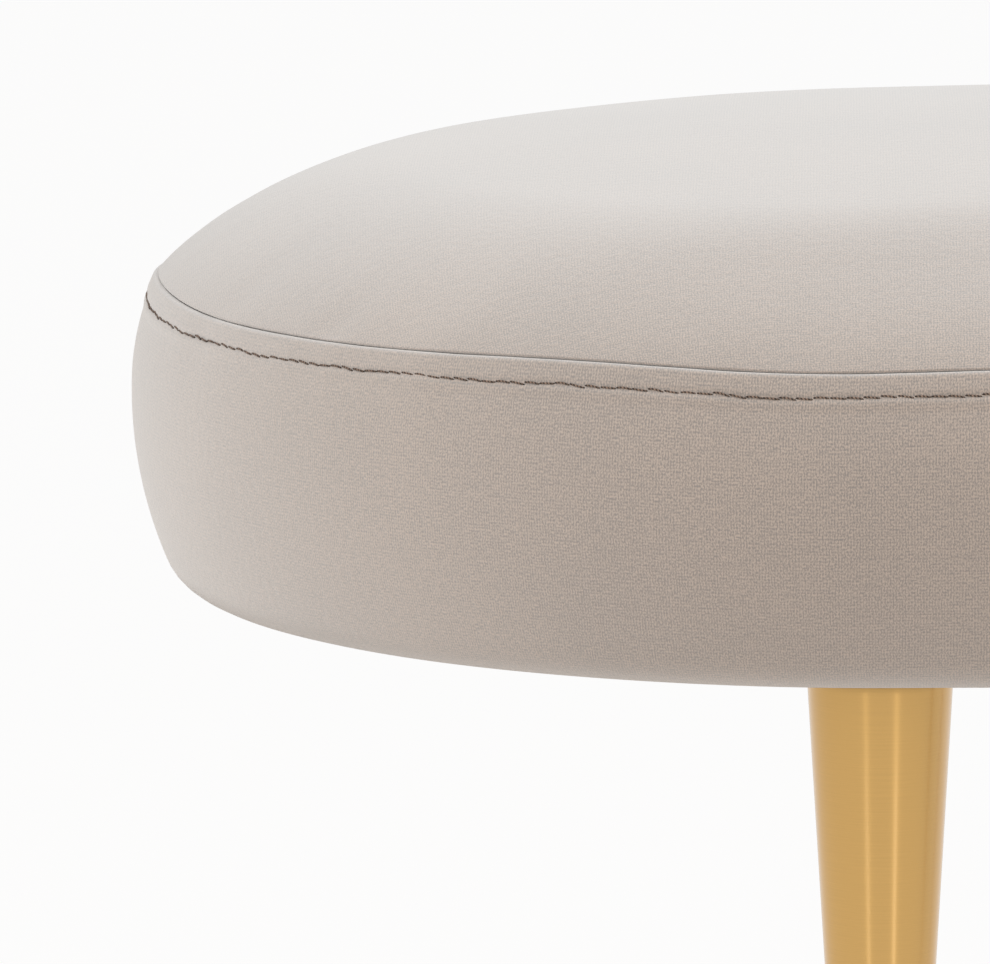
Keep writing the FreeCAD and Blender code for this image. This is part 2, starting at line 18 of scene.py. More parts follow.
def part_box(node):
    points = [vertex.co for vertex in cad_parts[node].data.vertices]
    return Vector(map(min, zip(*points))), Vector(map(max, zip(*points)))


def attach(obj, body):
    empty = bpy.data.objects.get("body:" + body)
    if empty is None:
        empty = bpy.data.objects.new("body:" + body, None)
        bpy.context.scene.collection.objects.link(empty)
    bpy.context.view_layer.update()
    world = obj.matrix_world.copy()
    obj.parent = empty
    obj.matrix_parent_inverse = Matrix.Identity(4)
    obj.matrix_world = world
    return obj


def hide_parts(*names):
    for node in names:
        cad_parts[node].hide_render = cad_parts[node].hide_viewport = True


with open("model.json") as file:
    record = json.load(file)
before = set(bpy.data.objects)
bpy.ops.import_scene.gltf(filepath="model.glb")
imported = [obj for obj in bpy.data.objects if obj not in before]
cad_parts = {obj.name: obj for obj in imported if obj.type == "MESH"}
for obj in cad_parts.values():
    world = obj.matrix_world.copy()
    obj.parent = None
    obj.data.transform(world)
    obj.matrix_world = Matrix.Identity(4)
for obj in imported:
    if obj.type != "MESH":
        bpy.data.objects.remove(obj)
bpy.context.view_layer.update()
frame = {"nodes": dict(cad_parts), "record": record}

MM = 0.001
BODY = "root"
CLOTH_UV = "cloth"
HALF_LENGTH = 600 * MM
STATION_PITCH = 6 * MM
WELD_GAP = 0.01 * MM
LOG = logging.getLogger("oval_bench")

Material = bpy.types.Material
Piece = bpy.types.Object
Socket = bpy.types.NodeSocket
Colour = tuple[float, float, float]
Place = tuple[float, float, float]
Profile = tuple[tuple[float, float], ...]
Section = tuple[np.ndarray, np.ndarray]
Tones = tuple[tuple[float, float], ...]
Waves = tuple[tuple[int, float, float], ...]


class Coordinates(Enum):
    """Coordinates that a finish reads."""

    OBJECT = "Object"
    CLOTH = "UV"


class Corner(Enum):
    """Corners of the bench, each with a leg."""

    FRONT_LEFT = "front_left"
    FRONT_RIGHT = "front_right"
    REAR_LEFT = "rear_left"
    REAR_RIGHT = "rear_right"


class Shader:
    """Small builder for the nodes of one material or world."""

    def __init__(self, owner: Material | bpy.types.World) -> None:
        """Start without nodes.

        Args:
            owner: Material or world that gets the nodes.
        """
        self.owner = owner
        owner.use_nodes = True
        self.tree = owner.node_tree
        self.tree.nodes.clear()

    def add(self, kind: str, settings: dict[str, object] | None = None, **inputs: object) -> bpy.types.Node:
        """Add a node.

        Args:
            kind: Node type without its ShaderNode prefix.
            settings: Properties of the node.
            inputs: Socket values or source sockets, by socket name with _ for a space.

        Returns:
            The new node.
        """
        node = self.tree.nodes.new(f"ShaderNode{kind}")
        for key, content in (settings or {}).items():
            setattr(node, key, content)
        for key, content in inputs.items():
            self.feed(node.inputs[key.replace("_", " ")], content)
        return node

    def feed(self, socket: Socket, content: object) -> None:
        """Link a source to a socket, or set the socket's value.

        Args:
            socket: Socket to feed.
            content: Source socket or value.
        """
        if isinstance(content, Socket):
            self.tree.links.new(content, socket)
        else:
            socket.default_value = content

    def place(self, coordinates: Coordinates, scale: Place) -> Socket:
        """Scaled coordinates.

        Args:
            coordinates: Which coordinates to read.
            scale: Cycles per metre along each axis.

        Returns:
            The scaled vector.
        """
        if coordinates is Coordinates.CLOTH:
            source = self.add("UVMap", {"uv_map": CLOTH_UV}).outputs["UV"]
        else:
            source = self.add("TexCoord").outputs["Object"]
        return self.add("Mapping", Vector=source, Scale=scale).outputs["Vector"]

    def noise(self, where: Socket, detail: float) -> Socket:
        """Noise value from 0 to 1 with one cycle per unit of its vector."""
        return self.add("TexNoise", Vector=where, Scale=1.0, Detail=detail).outputs["Fac"]

    def math(self, operation: str, *values: Socket | float) -> Socket:
        """Result of a math operation.

        Args:
            operation: Name of the operation.
            values: Its values in order, numbers or source sockets.

        Returns:
            The result.
        """
        node = self.add("Math", {"operation": operation})
        for socket, value in zip(node.inputs, values):
            self.feed(socket, value)
        return node.outputs[0]

    def total(self, *parts: tuple[Socket, float]) -> Socket:
        """Weighted sum.

        Args:
            parts: Values and their weights.

        Returns:
            The sum of each value times its weight.
        """
        result = self.math("MULTIPLY", *parts[0])
        for value, weight in parts[1:]:
            result = self.math("MULTIPLY_ADD", value, weight, result)
        return result

    def sine(self, cycles: Socket) -> Socket:
        """Sine of a value that counts whole cycles."""
        return self.math("SINE", self.math("MULTIPLY", cycles, math.tau))

    def ramp(self, value: Socket, colour: Colour, tones: Tones) -> Socket:
        """Darker and lighter tones of a colour along a value.

        Args:
            value: Value that picks the tone.
            colour: Colour to darken and lighten.
            tones: Stops of the ramp, each a value and the colour's factor there.

        Returns:
            The toned colour.
        """
        node = self.add("ValToRGB", Fac=value)
        elements = node.color_ramp.elements
        while len(elements) < len(tones):
            elements.new(0.5)
        for element, (position, factor) in zip(elements, tones):
            element.position = position
            element.color = (*(min(1.0, channel * factor) for channel in colour), 1.0)
        return node.outputs["Color"]

    def bump(self, height: Socket, distance: float, strength: float) -> Socket:
        """Normal of a bumped surface."""
        return self.add("Bump", Height=height, Distance=distance, Strength=strength).outputs["Normal"]

    def finish(self, **inputs: object) -> Material:
        """Close the material with a Principled surface.

        Args:
            inputs: Values or source sockets of the Principled shader.

        Returns:
            The material.
        """
        surface = self.add("BsdfPrincipled", None, **inputs)
        self.add("OutputMaterial", Surface=surface.outputs["BSDF"])
        return self.owner


@dataclass(frozen=True)
class Velvet:
    """Short-pile velvet: pile on a fine woven ground, mottled, with a nap that shades in soft patches."""

    name: str = "velvet"
    colour: Colour = (0.25, 0.18, 0.132)
    tones: Tones = ((0.375, 0.49), (0.625, 1.51))
    rib_pitch: float = 0.95 * MM
    pick_pitch: float = 1.05 * MM
    rib_weight: float = 0.07
    pick_weight: float = 0.045
    drift_size: float = 4 * MM
    grain_size: tuple[float, float] = (0.42 * MM, 0.8 * MM)
    mottle_size: float = 3 * MM
    patch_size: float = 70 * MM
    weave_share: float = 0.76
    mottle_share: float = 0.12
    nap_share: float = 0.12
    mottle_relief: float = 2.5
    pile_depth: float = 0.2 * MM
    pile_strength: float = 0.35

    def make(self) -> Material:
        """Make the material.

        Drifting ribs and picks with grain and mottling give the tone and the bump, and patches the nap.

        Returns:
            The material.
        """
        shader = Shader(bpy.data.materials.new(self.name))
        wide, tall = (1.0 / size for size in self.grain_size)
        slow, spot, patch = (1.0 / size for size in (self.drift_size, self.mottle_size, self.patch_size))
        grain = shader.noise(shader.place(Coordinates.CLOTH, (wide, tall, 1.0)), detail=1.0)
        drift = shader.noise(shader.place(Coordinates.CLOTH, (slow, slow, 1.0)), detail=1.0)
        mottle = shader.noise(shader.place(Coordinates.CLOTH, (spot, spot, 1.0)), detail=2.0)
        nap = shader.noise(shader.place(Coordinates.OBJECT, (patch, patch, patch)), detail=4.0)
        cloth = shader.place(Coordinates.CLOTH, (1.0 / self.rib_pitch, 1.0 / self.pick_pitch, 1.0))
        lay = shader.add("SeparateXYZ", Vector=cloth).outputs
        ribs, picks = (shader.sine(shader.math("ADD", lay[axis], drift)) for axis in ("X", "Y"))
        weave = shader.total((ribs, self.rib_weight), (picks, self.pick_weight), (grain, 1.0))
        pile = shader.total((weave, self.weave_share), (mottle, self.mottle_share), (nap, self.nap_share))
        relief = shader.total((weave, 1.0), (mottle, self.mottle_relief))
        return shader.finish(Base_Color=shader.ramp(pile, self.colour, self.tones), Roughness=0.85,
                             Normal=shader.bump(relief, self.pile_depth, self.pile_strength),
                             Sheen_Weight=1.0, Sheen_Roughness=0.82, Sheen_Tint=(0.98, 0.985, 0.98, 1.0),
                             Specular_IOR_Level=0.15)


@dataclass(frozen=True)
class BrushedGold:
    """Satin gold brushed round the leg."""

    name: str = "brushed_gold"
    colour: Colour = (0.61, 0.365, 0.118)
    tones: Tones = ((0.3, 0.97), (0.7, 1.03))
    stroke_pitch: float = 0.3 * MM
    stroke_length: float = 25 * MM
    stroke_depth: float = 0.02 * MM
    stroke_strength: float = 0.15
    roughness: float = 0.26
    roughness_change: float = 0.1

    def make(self) -> Material:
        """Make the material: long thin strokes round the leg vary tone, gloss and bump.

        Returns:
            The material.
        """
        shader = Shader(bpy.data.materials.new(self.name))
        across, along = 1.0 / self.stroke_pitch, 1.0 / self.stroke_length
        strokes = shader.noise(shader.place(Coordinates.CLOTH, (along, across, 1.0)), detail=3.0)
        gloss = shader.math("MULTIPLY_ADD", strokes, self.roughness_change, self.roughness)
        tangent = shader.add("Tangent", {"direction_type": "UV_MAP", "uv_map": CLOTH_UV}).outputs["Tangent"]
        return shader.finish(Base_Color=shader.ramp(strokes, self.colour, self.tones), Metallic=1.0,
                             Roughness=gloss, Anisotropic=0.75, Anisotropic_Rotation=0.25, Coat_Weight=0.4,
                             Coat_Roughness=0.14, Tangent=tangent,
                             Normal=shader.bump(strokes, self.stroke_depth, self.stroke_strength))


@dataclass(frozen=True)
class Fibre:
    """Matt soft or fibrous stuff: foam, wadding and non-woven sheet."""

    name: str
    colour: Colour
    cell_size: float
    depth: float
    contrast: float = 0.15
    stops: tuple[float, float] = (0.35, 0.65)
    strength: float = 0.6

    def make(self) -> Material:
        """Make the material: even noise at the size of the cells or fibres.

        Returns:
            The material.
        """
        shader = Shader(bpy.data.materials.new(self.name))
        cells = 1.0 / self.cell_size
        grain = shader.noise(shader.place(Coordinates.OBJECT, (cells, cells, cells)), detail=3.0)
        tones = tuple(zip(self.stops, (1 - self.contrast, 1 + self.contrast)))
        return shader.finish(Base_Color=shader.ramp(grain, self.colour, tones), Roughness=0.9,
                             Normal=shader.bump(grain, self.depth, self.strength), Specular_IOR_Level=0.2)


@dataclass(frozen=True)
class Thread:
    """Thick sewing thread, with painted shade where it goes down into the needle holes."""

    name: str = "thread"
    colour: Colour = (0.15, 0.103, 0.076)
    tones: Tones = ((0.15, 0.2), (0.55, 1.0), (0.95, 2.0))
    turns: float = 5.0
    twist_weight: float = 0.42
    hole_shade_weight: float = 1.3
    twist_depth: float = 0.08 * MM
    twist_strength: float = 0.5

    def make(self) -> Material:
        """Make the material: slanting bands of the plies, with painted shade towards both ends of each stitch
        and a lighter middle.

        Returns:
            The material.
        """
        shader = Shader(bpy.data.materials.new(self.name))
        lay = shader.add("SeparateXYZ", Vector=shader.place(Coordinates.CLOTH, (1.0, 1.0, 1.0))).outputs
        twist = shader.sine(shader.total((lay["X"], self.turns), (lay["Y"], 1.0)))
        # Painted shade: the tone falls towards both ends of each stitch, where the thread dips into the
        # needle holes.
        from_end = shader.math("MINIMUM", lay["X"], shader.math("SUBTRACT", 1.0, lay["X"]))
        lit = shader.total((from_end, self.hole_shade_weight), (twist, self.twist_weight))
        return shader.finish(Base_Color=shader.ramp(lit, self.colour, self.tones), Roughness=0.7,
                             Normal=shader.bump(twist, self.twist_depth, self.twist_strength))


@dataclass(frozen=True)
class Timber:
    """Raw wood, its streaks given as cycles per metre along each axis."""

    name: str
    colour: Colour
    streaks: Place
    tones: Tones = ((0.3, 0.72), (0.7, 1.15))
    depth: float = 0.2 * MM
    strength: float = 0.3

    def make(self) -> Material:
        """Make the material: noise stretched along the grain.

        Returns:
            The material.
        """
        shader = Shader(bpy.data.materials.new(self.name))
        grain = shader.noise(shader.place(Coordinates.OBJECT, self.streaks), detail=6.0)
        return shader.finish(Base_Color=shader.ramp(grain, self.colour, self.tones), Roughness=0.62,
                             Normal=shader.bump(grain, self.depth, self.strength))


@dataclass(frozen=True)
class Hard:
    """Plain hard stuff with fine speckle: zinc-plated steel or nylon."""

    name: str
    colour: Colour
    metallic: float
    roughness: float
    roughness_change: float = 0.15
    tones: Tones = ((0.3, 0.88), (0.7, 1.1))
    speckle: float = 1.5 * MM

    def make(self) -> Material:
        """Make the material: speckle varies the tone and the gloss a little.

        Returns:
            The material.
        """
        shader = Shader(bpy.data.materials.new(self.name))
        fine = 1.0 / self.speckle
        grain = shader.noise(shader.place(Coordinates.OBJECT, (fine, fine, fine)), detail=2.0)
        gloss = shader.math("MULTIPLY_ADD", grain, self.roughness_change, self.roughness)
        return shader.finish(Base_Color=shader.ramp(grain, self.colour, self.tones), Metallic=self.metallic,
                             Roughness=gloss)


def new_piece(name: str, points: np.ndarray, faces: np.ndarray, uv: np.ndarray | None,
              material: Material) -> Piece:
    """Put arrays into a new mesh object.

    Args:
        name: Name of the piece.
        points: Vertices, one row of three numbers each.
        faces: Quads, one row of four vertex numbers each.
        uv: Texture place of each face corner, or None.
        material: Finish of the piece.

    Returns:
        The object, linked to the scene.
    """
    mesh = bpy.data.meshes.new(name)
    mesh.vertices.add(len(points))
    mesh.vertices.foreach_set("co", np.ascontiguousarray(points, np.float32).ravel())
    mesh.loops.add(faces.size)
    mesh.loops.foreach_set("vertex_index", np.ascontiguousarray(faces, np.int32).ravel())
    mesh.polygons.add(len(faces))
    mesh.polygons.foreach_set("loop_start", np.arange(0, faces.size, faces.shape[1], dtype=np.int32))
    mesh.polygons.foreach_set("use_smooth", np.ones(len(faces), bool))
    mesh.update(calc_edges=True)
    if uv is not None:
        layer = mesh.uv_layers.new(name=CLOTH_UV)
        layer.data.foreach_set("uv", np.ascontiguousarray(uv, np.float32).ravel())
    mesh.materials.append(material)
    piece = bpy.data.objects.new(name, mesh)
    bpy.context.scene.collection.objects.link(piece)
    return piece


def weld(piece: Piece, distance: float = WELD_GAP) -> None:
    """Merge the points of a piece that lie together and drop faces without area.

    Args:
        piece: Piece to weld.
        distance: Largest distance between merged points.
    """
    bpy.context.view_layer.objects.active = piece
    modifier = piece.modifiers.new("weld", "WELD")
    modifier.merge_threshold = distance
    bpy.ops.object.modifier_apply(modifier=modifier.name)


def thicken(piece: Piece, thickness: float) -> None:
    """Give a sheet its thickness on the inner side.

    Args:
        piece: Sheet to thicken.
        thickness: Its thickness.
    """
    modifier = piece.modifiers.new("thickness", "SOLIDIFY")
    modifier.thickness = thickness
    modifier.offset = -1.0


def strip_faces(rows: int, columns: int, closed_rows: bool, closed_columns: bool) -> np.ndarray:
    """Quads of a grid of rows by columns, each number being row * columns + column.

    Args:
        rows: Number of rows.
        columns: Number of columns.
        closed_rows: Whether the last row joins the first.
        closed_columns: Whether the last column joins the first.

    Returns:
        Quads as rows of four vertex numbers.
    """
    row = np.arange(rows if closed_rows else rows - 1)[:, None]
    column = np.arange(columns if closed_columns else columns - 1)[None, :]
    start, below, beside = row * columns, (row + 1) % rows * columns, (column + 1) % columns
    corners = [start + column, start + beside, below + beside, below + column]
    return np.stack(np.broadcast_arrays(*corners), axis=-1).reshape(-1, 4)


def ease(value: np.ndarray) -> np.ndarray:
    """Smooth step: 0 up to 0, 1 from 1 on, and a cubic without corners between them."""
    share = np.clip(value, 0.0, 1.0)
    return share * share * (3.0 - 2.0 * share)


def taper(run: np.ndarray, hold: float) -> np.ndarray:
    """Fall as a square from 1 at the start of a run to 0 where the hold ends."""
    return np.clip(1.0 - run / hold, 0.0, 1.0) ** 2


def hump(gap: np.ndarray, hold: float) -> np.ndarray:
    """Rise from 0 at no gap to 1 at the hold, then an exponential fall."""
    return gap / hold * np.exp(1.0 - gap / hold)


@dataclass
class Oval:
    """Racetrack plan: stations round it, each an anchor on the centre line and a direction out from it."""

    straight: float
    pitch: float
    reference: float
    anchor: np.ndarray = field(init=False)
    outward: np.ndarray = field(init=False)
    run: np.ndarray = field(init=False)

    def __post_init__(self) -> None:
        """Lay the stations: along the front, round the right end, along the rear and round the left end."""
        side = int(round(2 * self.straight / self.pitch))
        end = int(round(math.pi * self.reference / self.pitch))
        place = np.linspace(-self.straight, self.straight, side, endpoint=False)
        turn = np.linspace(-math.pi / 2, math.pi / 2, end, endpoint=False)
        anchors = [place, np.full(end, self.straight), -place, np.full(end, -self.straight)]
        angles = [np.full(side, -math.pi / 2), turn, np.full(side, math.pi / 2), turn + math.pi]
        angle = np.concatenate(angles)
        self.anchor = np.concatenate(anchors)
        self.outward = np.stack([np.cos(angle), np.sin(angle)], axis=-1)
        side_step = 2 * self.straight / side
        end_step = math.pi * self.reference / end
        steps = np.concatenate([np.full(side, side_step), np.full(end, end_step)] * 2)
        self.run = np.concatenate([[0.0], np.cumsum(steps)[:-1]])

    @property
    def length(self) -> float:
        """Length once round the oval at the reference reach."""
        return 4 * self.straight + 2 * math.pi * self.reference

    def points(self, reach: np.ndarray, level: np.ndarray) -> np.ndarray:
        """Carry a section round the oval.

        Each point is the station's anchor plus the reach along its outward direction, at the given level.

        Args:
            reach: Reaches, rows of the section by stations, or one column.
            level: Levels in the same shape.

        Returns:
            Points, rows by stations by three.
        """
        reach, level = np.broadcast_arrays(reach, level)
        shape = (reach.shape[0], len(self.anchor))
        reach, level = np.broadcast_to(reach, shape), np.broadcast_to(level, shape)
        x, y = self.anchor + reach * self.outward[:, 0], reach * self.outward[:, 1]
        return np.stack([x, y, level], axis=-1)

    def shared(self, values: np.ndarray) -> np.ndarray:
        """Mean of a value over the stations that share an anchor, as points on the centre line do."""
        _, group = np.unique(np.round(self.anchor, 6), return_inverse=True)
        return (np.bincount(group, values) / np.bincount(group))[group]

    def at(self, run: np.ndarray) -> tuple[np.ndarray, np.ndarray]:
        """Anchor and outward direction at any run along the oval.

        The run is cut into the four stretches of the plan. On a straight one the anchor slides, on an end
        the direction turns.

        Args:
            run: Distances along the oval at the reference reach.

        Returns:
            Anchors along X, and outward directions as rows of two.
        """
        side, end = 2 * self.straight, math.pi * self.reference
        run = np.mod(run, self.length)
        half = np.where(run < side + end, 0, 1)
        local = run - half * (side + end)
        slide = np.minimum(local, side)
        angle = -math.pi / 2 + np.maximum(local - side, 0.0) / self.reference + half * math.pi
        anchor = (slide - self.straight) * np.where(half == 0, 1.0, -1.0)
        return anchor, np.stack([np.cos(angle), np.sin(angle)], axis=-1)


@dataclass
class SeatSection:
    """Half-section of the seat's outer skin: two arcs of the crown, the bulge of the band and the roll."""

    half_depth: float
    seam_level: float
    crown_level: float
    bottom_level: float
    seam_inset: float = 5.6 * MM
    band_radius: float = 140 * MM
    roll_radius: float = 16 * MM
    crown_radius: float = 1500 * MM
    shoulder_width: float = 88 * MM
    hem_width: float = 28 * MM
    seam_reach: float = field(init=False)
    band_reach: float = field(init=False)
    band_level: float = field(init=False)
    roll_reach: float = field(init=False)
    roll_level: float = field(init=False)
    crown_centre: float = field(init=False)
    shoulder_start: float = field(init=False)
    shoulder_radius: float = field(init=False)
    shoulder_reach: float = field(init=False)
    shoulder_level: float = field(init=False)

    def __post_init__(self) -> None:
        """Work out the arcs' centres from the sizes."""
        self.seam_reach = self.half_depth - self.seam_inset
        self.band_reach = self.half_depth - self.band_radius
        sagitta = self.band_radius - self.seam_inset
        self.band_level = self.seam_level - math.sqrt(self.band_radius ** 2 - sagitta ** 2)
        self.roll_level = self.bottom_level + self.roll_radius
        between, apart = self.band_radius - self.roll_radius, self.band_level - self.roll_level
        self.roll_reach = self.band_reach + math.sqrt(between ** 2 - apart ** 2)
        self.shoulder_start = self.seam_reach - self.shoulder_width
        self.crown_centre = self.crown_level - self.crown_radius
        crown_depth = math.sqrt(self.crown_radius ** 2 - self.shoulder_start ** 2)
        fall = self.crown_centre + crown_depth - self.seam_level
        lean = (crown_depth * fall - self.shoulder_start * self.shoulder_width) / self.crown_radius
        self.shoulder_radius = (self.shoulder_width ** 2 + fall ** 2) / (2 * lean)
        share = self.shoulder_radius / self.crown_radius
        self.shoulder_reach = self.shoulder_start * (1 - share)
        self.shoulder_level = self.crown_centre + crown_depth * (1 - share)

    def crown(self, reach: np.ndarray, inset: float = 0.0) -> np.ndarray:
        """Level of the crown at a reach.

        Inside the shoulder it is the flat middle arc, outside it the tighter shoulder arc, both drawn in by
        the inset.

        Args:
            reach: Distances out from the centre line.
            inset: Depth below the outer skin.

        Returns:
            Levels.
        """
        start = self.shoulder_start * (1 - inset / self.crown_radius)
        flat = self.crown_centre + np.sqrt((self.crown_radius - inset) ** 2 - np.minimum(reach, start) ** 2)
        out = np.maximum(reach, start) - self.shoulder_reach
        drop = np.sqrt(np.maximum((self.shoulder_radius - inset) ** 2 - out ** 2, 0.0))
        return np.where(reach <= start, flat, drop + self.shoulder_level)

    def side_turns(self) -> tuple[float, float]:
        """Angles that end the band's arc, from level and positive upwards.

        Returns:
            The angle at the seam, and the one where the roll takes over.
        """
        seam = math.asin((self.seam_level - self.band_level) / self.band_radius)
        roll = math.asin((self.roll_level - self.band_level) / (self.band_radius - self.roll_radius))
        return seam, roll

    def side(self, run: np.ndarray, inset: float = 0.0) -> tuple[np.ndarray, np.ndarray, np.ndarray]:
        """Point and outward normal of the side at a run down from the seam.

        The run follows the bulge's arc, then the roll's arc to the underside, then goes straight in along
        the hem.

        Args:
            run: Distances down the outer skin from the seam.
            inset: Depth below the outer skin.

        Returns:
            Reaches, levels, and normals with a reach and a level part.
        """
        seam, roll = self.side_turns()
        bulge = (seam - roll) * self.band_radius
        under = (roll + math.pi / 2) * self.roll_radius
        on_bulge = np.minimum(run, bulge)
        on_roll = np.clip(run - bulge, 0.0, under)
        on_hem = np.maximum(run - bulge - under, 0.0)
        angle = seam - on_bulge / self.band_radius - on_roll / self.roll_radius
        normal = np.stack([np.cos(angle), np.sin(angle)], axis=-1)
        rolled = run > bulge
        radius = np.where(rolled, self.roll_radius, self.band_radius) - inset
        reach = np.where(rolled, self.roll_reach, self.band_reach) + radius * normal[..., 0] - on_hem
        level = np.where(rolled, self.roll_level, self.band_level) + radius * normal[..., 1]
        return reach, level, normal

    def side_length(self) -> float:
        """Run from the seam to the inner edge of the hem."""
        seam, roll = self.side_turns()
        return (seam - roll) * self.band_radius + (roll + math.pi / 2) * self.roll_radius + self.hem_width


@dataclass
class HandSewing:
    """Small unevenness of hand sewing along the seam, as sums of waves that close once round the oval.

    Each wave is its cycles round the oval, its height and its start as an angle.
    """

    length: float
    seam_waves: Waves = ((7, 0.79 * MM, 2.38), (15, 0.84 * MM, -0.35), (20, 0.5 * MM, -1.2))
    stitch_waves: Waves = ((31, 0.17 * MM, 0.6), (57, 0.15 * MM, 2.1), (103, 0.12 * MM, 0.0),
                           (167, 0.1 * MM, 1.3))
    pucker_waves: Waves = ((37, 0.35, 0.2), (61, 0.3, 1.9), (88, 0.25, 4.0), (129, 0.2, 2.7))
    uneven_run: float = -0.2
    uneven_power: int = 4
    calm: float = 0.3
    tuck_runs: tuple[float, ...] = (-0.204, 0.47, 1.02, 1.66, 2.21)
    tuck_length: float = 6.5 * MM

    def wave(self, run: np.ndarray, waves: Waves) -> np.ndarray:
        """Sum of sine waves at runs along the oval."""
        turn = 2 * math.pi * run / self.length
        return sum(height * np.sin(cycles * turn + start) for cycles, height, start in waves)

    def seam(self, run: np.ndarray) -> np.ndarray:
        """Rise of the seam line along the oval, most at the front of the left end and calmer elsewhere."""
        near = 0.5 + 0.5 * np.cos(2 * math.pi * (run - self.uneven_run) / self.length)
        return self.wave(run, self.seam_waves) * (self.calm + (1.0 - self.calm) * near ** self.uneven_power)

    def stitch(self, run: np.ndarray) -> np.ndarray:
        """Rise of the stitch line relative to the seam."""
        return self.wave(run, self.stitch_waves)

    def tuck(self, run: np.ndarray) -> np.ndarray:
        """Small tucks where the top panel is gathered, each a bell along the seam.

        Args:
            run: Distances along the oval.

        Returns:
            Depths as shares, 1 in the middle of a tuck.
        """
        half = self.length / 2
        apart = np.mod(run[:, None] - np.array(self.tuck_runs) + half, self.length) - half
        return np.exp(-(apart / self.tuck_length) ** 2).sum(axis=-1)

    def pucker(self, run: np.ndarray) -> np.ndarray:
        """Ripple of the cloth beside the seam, about from -1 to 1."""
        return self.wave(run, self.pucker_waves)


@dataclass
class Cushion:
    """Fullness of the stuffed top, found by a cloth simulation of the top panel under pressure from below."""

    section: SeatSection
    straight: float
    pitch: float = 24 * MM
    rows: int = 18
    pressure: float = 4.0
    slack: float = 0.02
    frames: int = 20
    smoothing: int = 6
    fullness: float = 11 * MM
    full_length: float = 0.6
    least_share: float = 0.01
    edge_width: float = 60 * MM
    oval: Oval = field(init=False)
    gap: np.ndarray = field(init=False)
    lift: np.ndarray = field(init=False)

    def simulate(self, cloth: Material) -> np.ndarray:
        """Let pressure lift a coarse panel that is held at the seam.

        Args:
            cloth: Any finish, for the time of the simulation.

        Returns:
            Rise of each row and station.
        """
        reach = self.section.seam_reach - self.gap
        grid = self.oval.points(reach[:, None], self.section.crown(reach)[:, None])
        columns = len(self.oval.run)
        faces = strip_faces(self.rows, columns, False, True)
        piece = new_piece("cushion", grid.reshape(-1, 3), faces, None, cloth)
        number = piece.data.attributes.new("number", "INT", "POINT")
        number.data.foreach_set("value", np.arange(self.rows * columns, dtype=np.int32))
        seam = piece.vertex_groups.new(name="seam")
        seam.add(list(range(columns)), 1.0, "REPLACE")
        weld(piece)
        count = len(piece.data.vertices)
        place, rest, moved = np.empty(count, np.int32), np.empty(count * 3), np.empty(count * 3)
        piece.data.attributes["number"].data.foreach_get("value", place)
        piece.data.vertices.foreach_get("co", rest)
        modifier = piece.modifiers.new("cloth", "CLOTH")
        modifier.settings.vertex_group_mass = seam.name
        modifier.settings.use_pressure = True
        modifier.settings.uniform_pressure_force = self.pressure
        modifier.settings.shrink_min = -self.slack
        modifier.settings.effector_weights.gravity = 0.0
        modifier.point_cache.frame_end = self.frames
        for step in range(1, self.frames + 1):
            bpy.context.scene.frame_set(step)
        settled = piece.evaluated_get(bpy.context.evaluated_depsgraph_get())
        settled.data.vertices.foreach_get("co", moved)
        bpy.context.scene.frame_set(1)
        bpy.data.objects.remove(piece)
        rise = np.zeros(self.rows * columns)
        inner = place < (self.rows - 1) * columns
        rise[place[inner]] = (moved - rest).reshape(-1, 3)[inner, 2]
        rise = rise.reshape(self.rows, columns)
        rise[-1] = self.oval.shared(rise[-2])
        return rise

    def settle(self, cloth: Material) -> None:
        """Run the simulation once and keep what it found.

        Its small wrinkles are evened out: each round gives a point half of its own lift and a quarter of
        each neighbour's, along the oval and then across it.

        Args:
            cloth: Any finish, for the time of the simulation.
        """
        self.oval = Oval(self.straight, self.pitch, self.section.seam_reach)
        self.gap = np.linspace(0.0, self.section.seam_reach, self.rows)
        self.lift = self.simulate(cloth)
        for _ in range(self.smoothing):
            beside = np.roll(self.lift, 1, axis=1) + np.roll(self.lift, -1, axis=1)
            self.lift[:-1] = (0.5 * self.lift + 0.25 * beside)[:-1]
            self.lift[1:-1] = 0.5 * self.lift[1:-1] + 0.25 * (self.lift[:-2] + self.lift[2:])

    def rise(self, gap: np.ndarray, oval: Oval) -> np.ndarray:
        """Rise of a finer panel.

        The simulated lift is read between the coarse stations and rows. The stuffing stops it at the
        fullness, which falls off along the bench as a squared cosine to nothing at the ends, and eases to
        nothing at the seam.

        Args:
            gap: Gaps in from the seam, one for each row.
            oval: Stations of the finer panel.

        Returns:
            Rises, rows by stations.
        """
        by_run = np.array([np.interp(oval.run, self.oval.run, row, period=oval.length) for row in self.lift])
        lift = np.array([np.interp(gap, self.gap, column) for column in by_run.T]).T
        along = oval.points((self.section.seam_reach - gap)[:, None], np.zeros((len(gap), 1)))[..., 0]
        share = np.cos(0.5 * math.pi * along / self.full_length) ** 2
        limit = self.fullness * np.maximum(share, self.least_share)
        return limit * np.tanh(np.maximum(lift, 0.0) / limit) * ease(gap / self.edge_width)[:, None]


